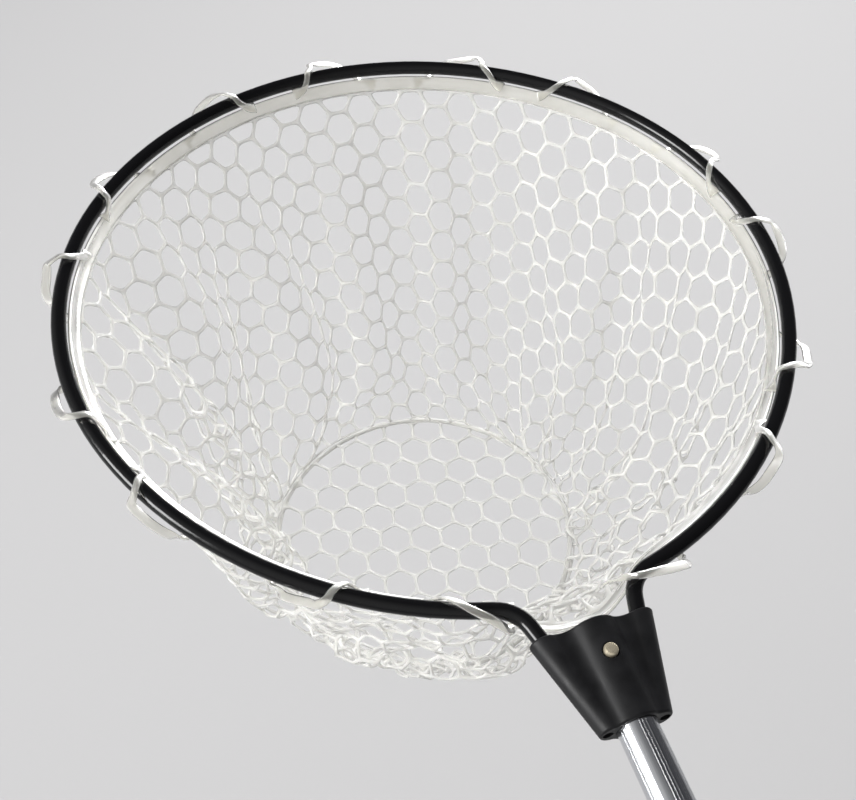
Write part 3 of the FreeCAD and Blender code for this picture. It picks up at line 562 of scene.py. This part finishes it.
def section_table():
    """The bag's form: height, middle, and reach in each direction, of rim, half-way and base."""
    rows = []
    for top, inset, scale, z in (
        (HOOP_TOP, TOP_INSET, 1.0, TOP_Z),
        (MIDDLE_FAR, 0.0, MIDDLE_SCALE, MIDDLE_Z),
        (BASE_FAR, 0.0, BASE_SCALE, BASE_Z),
    ):
        at, _, _ = outline(top, inset, scale, 2 * FORM_STEPS)
        middle = top - ARCS[0][0] * scale
        angles = np.arctan2(at[:, 0], at[:, 1] - middle)
        reach = np.hypot(at[:, 0], at[:, 1] - middle)
        order = np.argsort(angles)
        wanted = np.linspace(-math.pi, math.pi, FORM_STEPS + 1)
        rows.append((z, middle, np.interp(wanted, angles[order], reach[order], period=math.tau)))
    return rows


def keep_inside(points, table):
    """Moves points that bulge too far out of the bag's form back towards its middle."""
    heights = [row[0] for row in table][::-1]
    middle = np.interp(points[..., 2], heights, [row[1] for row in table][::-1])
    x, y = points[..., 0], points[..., 1] - middle
    reach = np.hypot(x, y) + 1e-9
    place = (np.arctan2(x, y) + math.pi) / math.tau * FORM_STEPS
    low = np.clip(place.astype(int), 0, FORM_STEPS - 1)
    part = place - low
    limits = np.stack([row[2][low] * (1 - part) + row[2][low + 1] * part for row in table])
    z = np.clip(points[..., 2], heights[0], heights[-1])
    upper = (z - MIDDLE_Z) / (TOP_Z - MIDDLE_Z)
    lower = (z - BASE_Z) / (MIDDLE_Z - BASE_Z)
    limit = np.where(z > MIDDLE_Z, limits[1] + (limits[0] - limits[1]) * upper,
                     limits[2] + (limits[1] - limits[2]) * lower) + BULGE
    squeeze = np.where(reach > limit, limit / reach, 1.0)
    points[..., 0] = x * squeeze
    points[..., 1] = y * squeeze + middle


def pleat_folds():
    """The narrow pleats as folds, each a little different."""
    edges = np.linspace(PLEATS_FROM, PLEATS_TO, PLEATS + 1)
    edges = edges + rng.uniform(-PLEAT_SWAY, PLEAT_SWAY, PLEATS + 1)
    folds = []
    for begin, end in zip(edges[:-1], edges[1:]):
        run = (end - begin) / 2
        folds.append((begin, end, run, run, rng.uniform(*PLEAT_DEPTH), rng.uniform(*PLEAT_DEEPEST)))
    return folds


def fold_depth(folds, shares, v):
    """How far the folds push each column inwards at a depth v, 0 at the rim and 1 at the base."""
    depth = np.zeros(len(shares))
    for begin, end, run_in, run_out, deep, deepest in folds:
        grown = smooth_step(v / deepest) if v < deepest else smooth_step((1 - v) / (1 - deepest))
        past_begin = ((shares - begin + 0.5) % 1 - 0.5) / run_in
        before_end = ((end - shares + 0.5) % 1 - 0.5) / run_out
        depth += deep * grown * smooth_step(past_begin) * smooth_step(before_end)
    return depth


def starting_surface():
    """The pleated bag before it hangs: outlines at each depth, with the folds pushed inwards."""
    folds = list(FOLDS) + pleat_folds()
    shares = np.arange(GRID_ACROSS) / GRID_ACROSS
    ends = np.interp(shares, SHARE_AT_RIM, SHARE_AT_BASE)
    *top, rim_length = outline(HOOP_TOP, TOP_INSET, 1, OUTLINE_FINE)
    middle = outline(MIDDLE_FAR, 0, MIDDLE_SCALE, OUTLINE_FINE)[:2]
    base = outline(BASE_FAR, FOOT_INSET, BASE_SCALE, OUTLINE_FINE)[:2]
    surface = np.zeros((GRID_DOWN + 1, GRID_ACROSS, 3))
    for j in range(GRID_DOWN + 1):
        v = j / GRID_DOWN
        z = TOP_Z + (BASE_Z + FOOT_HIGH - TOP_Z) * v
        place = (shares + (ends - shares) * smooth_step(v) ** 0.7) * OUTLINE_FINE
        index = place.astype(int) % OUTLINE_FINE
        if z > MIDDLE_Z:
            above, below = top, middle
            part = (TOP_Z - z) / (TOP_Z - MIDDLE_Z)
        else:
            above, below = middle, base
            part = (MIDDLE_Z - z) / (MIDDLE_Z - BASE_Z)
        at = above[0][index] * (1 - part) + below[0][index] * part
        out = above[1][index] * (1 - part) + below[1][index] * part
        surface[j, :, :2] = at - out * fold_depth(folds, shares, v)[:, None]
        surface[j, :, 2] = z
    reach, dip = neck_shift(surface[0])
    hold = (1 - np.arange(GRID_DOWN + 1) / GRID_DOWN)[:, None] ** 2
    surface[..., 1] -= hold * reach
    surface[..., 2] -= hold * dip
    return surface, rim_length


def pull(points, free, first, second, length, stiffness, push=1.0):
    """Moves pairs of points towards their length; first and second are index tuples.

    push is the share of the move that a pair gets when it is too close.
    """
    a, b = points[first], points[second]
    gap = b - a
    now = np.linalg.norm(gap, axis=-1, keepdims=True) + 1e-12
    off = now - length
    off = np.where(off < 0, off * push, off)
    free_a, free_b = free[first][..., None], free[second][..., None]
    total = free_a + free_b
    move = gap / now * off * stiffness / np.maximum(total, 1e-9)
    points[first] = a + move * free_a
    points[second] = b - move * free_b


def keep_lengths(points, free, wide, down):
    """One pass over the sheet's own lengths, in turns whose pairs don't share a point.

    Across and down it hardly stretches. Slanting pairs, and pairs three columns or two rows
    apart, resist shear and sharp bends a little.
    """
    slant = np.hypot(wide, down)
    every = np.arange(GRID_ACROSS)[None]
    all_rows = np.arange(GRID_DOWN + 1)[:, None]
    for start in (0, 1):
        one = every[:, start::2]
        after = (one + 1) % GRID_ACROSS
        pull(points, free, (all_rows, one), (all_rows, after), wide, HOLD, PUSH_WIDE)
    for start in (0, 1):
        rows = np.arange(start, GRID_DOWN, 2)[:, None]
        pull(points, free, (rows, every), (rows + 1, every), down, HOLD, PUSH_DOWN)
    for start in (0, 1):
        rows = np.arange(start, GRID_DOWN, 2)[:, None]
        for way in (1, -1):
            side = (every + way) % GRID_ACROSS
            pull(points, free, (rows, every), (rows + 1, side), slant[rows[:, 0]], SHEAR)
    for start in range(4):
        one = every[:, start::4]
        after = (one + 3) % GRID_ACROSS
        pull(points, free, (all_rows, one), (all_rows, after), 3 * wide, BEND_WIDE)
    for start in range(3):
        rows = np.arange(start, GRID_DOWN - 1, 3)[:, None]
        pull(points, free, (rows, every), (rows + 2, every), 2 * down, BEND_DOWN)


def hang_wall():
    """Lets the sheet hang between the rim and the base, which hold its edges."""
    points, rim_length = starting_surface()
    narrow = 1 - TAPER * np.arange(GRID_DOWN + 1) / GRID_DOWN
    wide = (rim_length / GRID_ACROSS * narrow)[:, None, None]
    down = WALL_LONG / GRID_DOWN
    free = np.ones(points.shape[:2])
    free[0] = 0
    free[-1] = 0
    points[1:-1] += rng.normal(0, UNEVEN, points[1:-1].shape)
    table = section_table()
    before = points.copy()
    for _ in range(HANG_STEPS):
        speed = (points - before) * SPEED_KEPT
        before = points.copy()
        points = points + speed * free[..., None]
        points[..., 2] -= DROP * free
        for _ in range(PASSES):
            keep_lengths(points, free, wide, down)
            inner = points[1:-1]
            keep_inside(inner, table)
            np.maximum(inner[..., 2], BASE_Z + CLEARANCE, out=inner[..., 2])
    return points, rim_length


# ---------------------------------------------------------------- net: six-sided holes
# points along a long side of a cell, as shares of it, and how often a hole's outline is rounded
SIDE_STOPS = (0.0, 0.13, 0.5, 0.87)
ROUNDINGS = 2
# a strand's section: two places from its middle (0) to the hole's edge (1), and the shares of its
# half height there
NEAR, NEAR_HIGH = 0.42, 0.91
FAR, FAR_HIGH = 0.82, 0.57
# a hole whose middle is nearer its edge than this share of the strand's half width is filled
LEAST_ROOM = 0.4

# half width and half height of the strands
WALL_STRAND = (0.00128, 0.0010)
BASE_STRAND = (0.00112, 0.0009)
# how far down the first row of cells is moved, in cells, and the smallest cut-off cell that is
# kept, as a share of side by height
ROW_START = 0.05
LEAST_CELL = 0.02


def clip_polygon(polygon, normal, limit):
    """The part of a convex polygon where its points' product with normal is at most limit."""
    kept = []
    for here, there in zip(polygon, np.roll(polygon, -1, axis=0)):
        a, b = here @ normal - limit, there @ normal - limit
        if a <= 1e-9:
            kept.append(here)
        if (a < -1e-9 and b > 1e-9) or (a > 1e-9 and b < -1e-9):
            kept.append(here + (there - here) * a / (a - b))
    return np.array(kept)


def hole_edge(polygon, outer, distance):
    """The hole's edge inwards of each point on a convex cell's sides, or None without room."""
    sides = np.roll(polygon, -1, axis=0) - polygon
    lengths = np.linalg.norm(sides, axis=1)
    real = lengths > 1e-7
    sides = sides[real] / lengths[real][:, None]
    normals = np.stack([sides[:, 1], -sides[:, 0]], 1)
    middle = outer.mean(0)
    room = ((polygon[real] - middle) * normals).sum(1) - distance
    if room.min() < distance * LEAST_ROOM:
        return None
    speed = (outer - middle) @ normals.T
    reach = np.where(speed > 1e-9, room / np.maximum(speed, 1e-9), 9.0).min(1)
    return middle + (outer - middle) * reach[:, None]


def cell_edge(polygon, short_side):
    """Points along a cell's sides: its corners, and three more on each side that isn't short."""
    edge = []
    for a, b in zip(polygon, np.roll(polygon, -1, axis=0)):
        stops = SIDE_STOPS if np.linalg.norm(b - a) > short_side else SIDE_STOPS[:1]
        edge += [a + (b - a) * stop for stop in stops]
    return np.array(edge)


def net_mesh(name, polygons, place, period, short_side, strand, replaced):
    """Rounded strands between convex holes, as one closed mesh.

    place turns flat points into points and normals in space, and period is the flat pattern's
    length around, or None. Cells share the points above and below the middle of their strands,
    and each has five rings from the one to the other through its hole. A cell that is too small
    for a hole is filled.
    """
    half_wide, half_high = strand
    flat, rise, faces, shared, border = [], [], [], {}, {}

    def vertex(spot, height):
        flat.append(spot)
        rise.append(height)
        return len(flat) - 1

    def middle_pair(spot):
        x = spot[0] % period if period else spot[0]
        if period and period - x < 1e-6:
            x = 0.0
        key = (round(x, 6), round(spot[1], 6))
        if key not in shared:
            shared[key] = (vertex(spot, half_high), vertex(spot, -half_high))
        return shared[key]

    for polygon in polygons:
        outer = cell_edge(polygon, short_side)
        inner = hole_edge(polygon, outer, half_wide)
        pairs = [middle_pair(spot) for spot in outer]
        spans = list(zip(pairs, pairs[1:] + pairs[:1]))
        for (a_high, a_low), (b_high, b_low) in spans:
            border[a_high, b_high] = (a_low, b_low)
        if inner is None:
            centre = outer.mean(0)
            high, low = vertex(centre, half_high), vertex(centre, -half_high)
            for (a_high, a_low), (b_high, b_low) in spans:
                faces.append((a_high, b_high, high))
                faces.append((b_low, a_low, low))
            continue
        for _ in range(ROUNDINGS):
            inner = (np.roll(inner, 1, axis=0) + 2 * inner + np.roll(inner, -1, axis=0)) / 4
        rings = []
        for spot_out, spot_in, (high, low) in zip(outer, inner, pairs):
            near = spot_out + (spot_in - spot_out) * NEAR
            far = spot_out + (spot_in - spot_out) * FAR
            above = (high, vertex(near, half_high * NEAR_HIGH), vertex(far, half_high * FAR_HIGH))
            edge = vertex(spot_in, 0.0)
            below = (vertex(far, -half_high * FAR_HIGH), vertex(near, -half_high * NEAR_HIGH), low)
            rings.append((*above, edge, *below))
        for here, there in zip(rings, rings[1:] + rings[:1]):
            for m in range(len(here) - 1):
                faces.append((here[m], there[m], there[m + 1], here[m + 1]))
    for (a_high, b_high), (a_low, b_low) in border.items():
        if (b_high, a_high) not in border:
            faces.append((b_high, a_high, a_low, b_low))
    points, normals = place(np.array(flat))
    points = points + normals * np.array(rise)[:, None]
    make_mesh(name, points, faces, NET, "head", replaced)


def area_of(polygon):
    after = np.roll(polygon, -1, axis=0)
    return 0.5 * (polygon[:, 0] * after[:, 1] - polygon[:, 1] * after[:, 0]).sum()


def wall_polygons(pitch, side):
    """Six-sided cells in columns down the wall, cut off at the band and at the base."""
    tall = WALL_LONG / ROWS
    corners = np.array([(1, 0), (0.5, 0.5), (-0.5, 0.5), (-1, 0), (-0.5, -0.5), (0.5, -0.5)])
    corners = corners * (side, tall)
    polygons = []
    for column in range(COLUMNS):
        for row in range(-1, ROWS + 1):
            centre = np.array([column * pitch, (row + ROW_START + 0.5 * (column % 2)) * tall])
            polygon = clip_polygon(corners + centre, np.array([0.0, -1.0]), 0.0)
            if len(polygon) > 2:
                polygon = clip_polygon(polygon, np.array([0.0, 1.0]), WALL_LONG)
            if len(polygon) > 2 and area_of(polygon) > side * tall * LEAST_CELL:
                polygons.append(polygon)
    return polygons


def surface_lookup(surface, rim_length):
    """A function that places flat wall points on the hanging surface."""
    ahead = np.roll(surface, -1, axis=1) - np.roll(surface, 1, axis=1)
    below = np.gradient(surface, axis=0)
    normals = np.cross(ahead, below)
    normals /= np.linalg.norm(normals, axis=-1, keepdims=True) + 1e-12

    def place(flat):
        u = flat[:, 0] / rim_length * GRID_ACROSS
        v = np.clip(flat[:, 1] / WALL_LONG * GRID_DOWN, 0, GRID_DOWN - 1e-6)
        i, j = np.floor(u).astype(int), v.astype(int)
        part_u, part_v = (u - i)[:, None], (v - j)[:, None]
        i_0, i_1 = i % GRID_ACROSS, (i + 1) % GRID_ACROSS
        both = []
        for field in (surface, normals):
            upper = field[j, i_0] * (1 - part_u) + field[j, i_1] * part_u
            lower = field[j + 1, i_0] * (1 - part_u) + field[j + 1, i_1] * part_u
            both.append(upper * (1 - part_v) + lower * part_v)
        both[1] /= np.linalg.norm(both[1], axis=1, keepdims=True) + 1e-12
        return both

    return place


def make_net_wall():
    surface, rim_length = hang_wall()
    pitch = rim_length / COLUMNS
    side = pitch / 1.5
    place = surface_lookup(surface, rim_length)
    net_mesh("net_wall_mesh", wall_polygons(pitch, side), place, rim_length, side / 3,
             WALL_STRAND, ["net_wall"])


# ---------------------------------------------------------------- net base
# width of a cell, how far the pattern is turned, cells each way from the middle, and the smallest
# cut-off cell that is kept, as a share of its side squared
BASE_CELL = 0.0235
BASE_TURN = math.radians(17)
BASE_CELLS = 8
BASE_LEAST_CELL = 0.05
# the panel rises from its middle outwards and is a little wavy
DISH_RADIUS, DISH_LIFT = 0.11, 0.0035
BASE_WAVE = 0.0012
BASE_WAVES = (55, 48)

# the seam bead: inside the base's outline, above the base, up and down by its wave
SEAM_STATIONS = 200
SEAM_AROUND = 10
SEAM_INSET = 0.0035
SEAM_LIFT, SEAM_WAVE = 0.0048, 0.0015
SEAM_HALF_WIDE, SEAM_HALF_HIGH = 0.0019, 0.0016
# the bead is pinched inwards on the right: by how much, and where and how wide, as shares of it
PINCH, PINCH_AT, PINCH_WIDE = 0.010, 0.235, 0.012


def make_base_bead():
    """The cord-like bead that joins wall and base. Returns the seam's line without the pinch."""
    seam, out, _ = outline(BASE_FAR, SEAM_INSET, BASE_SCALE, SEAM_STATIONS)
    share = np.arange(SEAM_STATIONS) / SEAM_STATIONS
    pinch = PINCH * np.exp(-((share - PINCH_AT) / PINCH_WIDE) ** 2)
    middles = seam - out * pinch[:, None]
    heights = BASE_Z + SEAM_LIFT + SEAM_WAVE * np.sin(share * math.tau * 3 + 0.6)
    points = []
    for middle, way, height in zip(middles, out, heights):
        for k in range(SEAM_AROUND):
            angle = math.tau * k / SEAM_AROUND
            x, y = middle + way * (SEAM_HALF_WIDE * math.cos(angle))
            points.append((x, y, height + SEAM_HALF_HIGH * math.sin(angle)))
    faces = tube_faces(SEAM_STATIONS, SEAM_AROUND, True)
    make_mesh("base_seam_bead", points, faces, NET, "head", ["base_cord"])
    return seam


def make_net_base(seam):
    """The flat panel at the bottom: its own pattern of holes, turned a little, cut at the seam."""
    middle = seam.mean(0)
    side = BASE_CELL / math.sqrt(3)
    turn = np.array([[math.cos(BASE_TURN), math.sin(BASE_TURN)],
                     [-math.sin(BASE_TURN), math.cos(BASE_TURN)]])
    corners = np.array([(math.cos(math.radians(60 * k)), math.sin(math.radians(60 * k)))
                        for k in range(6)]) * side
    edges = np.roll(seam, -1, axis=0) - seam
    outwards = np.stack([-edges[:, 1], edges[:, 0]], 1)
    limits = (outwards * seam).sum(1)
    polygons = []
    for column in range(-BASE_CELLS, BASE_CELLS + 1):
        for row in range(-BASE_CELLS, BASE_CELLS + 1):
            centre = np.array([column * side * 1.5, (row + 0.5 * (column % 2)) * BASE_CELL])
            polygon = (corners + centre) @ turn + middle
            for outward, limit in zip(outwards, limits):
                if len(polygon) > 2 and (polygon @ outward > limit).any():
                    long = np.linalg.norm(outward)
                    polygon = clip_polygon(polygon, outward / long, limit / long)
            if len(polygon) > 2 and area_of(polygon) > side * side * BASE_LEAST_CELL:
                polygons.append(polygon)

    def place(flat):
        away = (flat - middle) / DISH_RADIUS
        reach = np.hypot(away[:, 0], away[:, 1])
        z = BASE_Z + BASE_WAVE + DISH_LIFT * np.clip(reach, 0, 1) ** 3
        waves = flat * BASE_WAVES
        z = z + BASE_WAVE * np.sin(waves[:, 0] + 1) * np.cos(waves[:, 1])
        points = np.concatenate([flat, z[:, None]], 1)
        return points, np.tile((0.0, 0.0, 1.0), (len(flat), 1))

    net_mesh("net_base_mesh", polygons, place, None, side / 3, BASE_STRAND, ["net_base"])


# ---------------------------------------------------------------- foam grip
GRIP_STATIONS = 240
GRIP_AROUND = 72
SWELL = 0.0016
END_ROUND = 0.0032
# grooves near each end: how many, the first one's distance from the end, and their size
GRIP_RINGS = 5
FIRST_RING = 0.012
RING_PITCH = 0.0085
RING_DEEP, RING_HALF_WIDE = 0.0009, 0.0011
# between the foam and the tube
BORE_GAP = 0.00005


def grip_profile(low, high, bore, widest):
    """Radius along the grip: rounded ends, a slight swell, and grooves near each end."""
    length = high - low
    stations = np.linspace(0, length, GRIP_STATIONS)
    from_end = np.minimum(stations, length - stations)
    swell = widest - SWELL + SWELL * np.sin(math.pi * stations / length) ** 2
    rounded = END_ROUND * (1 - np.sqrt(1 - np.clip(1 - from_end / END_ROUND, 0, 1) ** 2))
    grooves = np.zeros_like(stations)
    for ring in range(GRIP_RINGS):
        from_ring = from_end - FIRST_RING - ring * RING_PITCH
        grooves += RING_DEEP * np.exp(-(from_ring / RING_HALF_WIDE) ** 2)
    outside = list(zip(swell - rounded - grooves, low + stations))
    return [(bore, low)] + outside + [(bore, high)]


def make_grip():
    low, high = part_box("grip")
    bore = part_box("handle_tube")[1].x + BORE_GAP
    profile = grip_profile(low.y, high.y, bore, high.x)
    points = []
    for k in range(GRIP_AROUND):
        angle = math.tau * k / GRIP_AROUND
        for radius, y in profile:
            points.append((radius * math.sin(angle), y, radius * math.cos(angle)))
    faces = tube_faces(GRIP_AROUND, len(profile), True)
    make_mesh("foam_grip", points, faces, FOAM, "handle", ["grip"])


# ---------------------------------------------------------------- carried-over CAD nodes
def dress(name, material):
    piece = nodes[name]
    piece.data.materials.clear()
    piece.data.materials.append(material)


def squash_spring():
    """Gives the leaf spring its own copy of its mesh; it is not flattened here, though the real
    spring flattens onto its lower leg as the button on its upper leg is pressed in.
    """
    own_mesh(nodes["button_spring"])


# ---------------------------------------------------------------- studio
STUDIO_HALF = 14.0
STUDIO_DROP = 0.45
# the floor's own colour near the bag, and a paler colour far off that is painted light, standing in
# for the lamps' light, which hardly reaches there; it fades in between these distances in metres
# from the origin
NEAR_FLOOR = (0.46, 0.457, 0.46)
FAR_FLOOR_PAINTED_LIGHT = (0.90, 0.895, 0.90)
PAINTED_LIGHT_FADE = (3.0, 8.0)
# name, place and power of each lamp. Only the left one shows in gloss.
LAMPS = (
    ("left_light", (-4.2, 1.0, 1.3), 50),
    ("right_light", (4.4, 1.2, 1.6), 15),
    ("back_light", (2.6, 4.8, 1.8), 82),
)
LAMP_WIDTH = 2.0
LAMP_SPREAD = math.radians(80)
LAMP_AIM = Vector((0, HOOP_TOP - 0.24, -0.1))
# the room goes from bright to dark along this way
DARK_WAY = (0.85, 0.5, 0.0)
DARK_FADE = (-0.6, 0.25)
BRIGHT, DARK = (1.0, 1.0, 1.0), (0.14, 0.14, 0.15)
ROOM_STRENGTH = 0.62


def fade_colours(tree, value, fade, first, second):
    """A colour socket that goes from the first colour to the second as the value goes over fade."""
    spread = tree.nodes.new("ShaderNodeMapRange")
    spread.inputs["From Min"].default_value, spread.inputs["From Max"].default_value = fade
    ramp = tree.nodes.new("ShaderNodeValToRGB")
    ramp.color_ramp.elements[0].color = (*first, 1)
    ramp.color_ramp.elements[1].color = (*second, 1)
    tree.links.new(value, spread.inputs["Value"])
    tree.links.new(spread.outputs["Result"], ramp.inputs["Fac"])
    return ramp.outputs["Color"]


def make_floor_with_painted_light():
    """Plain and pale near the bag, and painted paler far off: painted light standing in for the
    lamps' light, which hardly reaches there.
    """
    material = new_material("floor_with_painted_light", NEAR_FLOOR, 0.9)
    tree = material.node_tree
    place = add_node(material, "ShaderNodeTexCoord")
    distance = add_node(material, "ShaderNodeVectorMath")
    distance.operation = "LENGTH"
    link(material, place, "Object", distance, 0)
    # painted light: far off, the floor fades to the paler colour in place of lamplight that hardly
    # reaches there
    colour = fade_colours(tree, distance.outputs["Value"], PAINTED_LIGHT_FADE, NEAR_FLOOR, FAR_FLOOR_PAINTED_LIGHT)
    tree.links.new(colour, tree.nodes["Principled BSDF"].inputs["Base Color"])
    return material


def make_studio():
    """A large floor below the bag, and three lamps aimed at the bag."""
    half, floor_z = STUDIO_HALF, BASE_Z - STUDIO_DROP
    mesh = bpy.data.meshes.new("studio_floor")
    mesh.from_pydata([(-half, -half, floor_z), (half, -half, floor_z), (half, half, floor_z),
                      (-half, half, floor_z)], [], [(0, 1, 2, 3)])
    floor = bpy.data.objects.new("studio_floor", mesh)
    bpy.context.scene.collection.objects.link(floor)
    mesh.materials.append(make_floor_with_painted_light())
    make_world()
    for name, place, power in LAMPS:
        light = bpy.data.lights.new(name, "AREA")
        light.size = LAMP_WIDTH
        light.energy = power
        light.spread = LAMP_SPREAD
        lamp = bpy.data.objects.new(name, light)
        lamp.location = place
        lamp.visible_camera = False
        lamp.visible_glossy = name == "left_light"
        lamp.rotation_euler = (LAMP_AIM - Vector(place)).to_track_quat("-Z", "Y").to_euler()
        bpy.context.scene.collection.objects.link(lamp)


def make_world():
    """A grey room: bright to the left and in front, dark to the right and behind."""
    world = bpy.data.worlds.new("studio")
    world.use_nodes = True
    tree = world.node_tree
    place = tree.nodes.new("ShaderNodeTexCoord")
    facing = tree.nodes.new("ShaderNodeVectorMath")
    facing.operation = "DOT_PRODUCT"
    facing.inputs[1].default_value = DARK_WAY
    tree.links.new(place.outputs["Generated"], facing.inputs[0])
    colour = fade_colours(tree, facing.outputs["Value"], DARK_FADE, BRIGHT, DARK)
    tree.links.new(colour, tree.nodes["Background"].inputs["Color"])
    tree.nodes["Background"].inputs["Strength"].default_value = ROOM_STRENGTH
    bpy.context.scene.world = world


# ---------------------------------------------------------------- camera
# degrees from the handle's line, downwards, and rolled
AZIMUTH, ELEVATION, ROLL = 23.8, 51.8, 5.62
AIM = Vector((-0.0752, HOOP_TOP - 0.4074, 0.135))
CAMERA_AWAY = 0.629
SENSOR, LENS = 36, 55.75


def make_camera():
    """The photo's camera, solved from the hoop's outline and the handle's edges."""
    azimuth, elevation, roll = (math.radians(a) for a in (AZIMUTH, ELEVATION, ROLL))
    look = Vector((math.sin(azimuth) * math.cos(elevation),
                   math.cos(azimuth) * math.cos(elevation), -math.sin(elevation)))
    level = Vector((math.cos(azimuth), -math.sin(azimuth), 0))
    right = level * math.cos(roll) + level.cross(look) * math.sin(roll)
    up = right.cross(look)
    eye = AIM - look * CAMERA_AWAY
    camera_data = bpy.data.cameras.new("camera")
    camera_data.sensor_width = SENSOR
    camera_data.lens = LENS
    camera_data.clip_end = 50
    camera = bpy.data.objects.new("camera", camera_data)
    camera.matrix_world = Matrix((
        (right.x, up.x, -look.x, eye.x),
        (right.y, up.y, -look.y, eye.y),
        (right.z, up.z, -look.z, eye.z),
        (0, 0, 0, 1),
    ))
    bpy.context.scene.collection.objects.link(camera)
    bpy.context.scene.camera = camera


# ---------------------------------------------------------------- the scene
bpy.context.scene.view_settings.view_transform = "Standard"
make_camera()
make_studio()
make_rim_band()
for number, index in enumerate(range(-LOOPS_EACH_SIDE, LOOPS_EACH_SIDE + 1), start=1):
    make_rim_loop(number, index)
make_net_wall()
make_net_base(make_base_bead())
make_grip()
dress("handle_tube", ALUMINIUM)
for name in ("front_plug", "grip_ferrule", "butt_cap", "yoke_upper", "yoke_lower"):
    dress(name, PLASTIC)
for name in ("cap_pin", "button_spring", "yoke_screws", "leg_screws"):
    dress(name, STEEL)
dress("snap_button", BUTTON)
dress("hoop_tube", PAINT)
squash_spring()
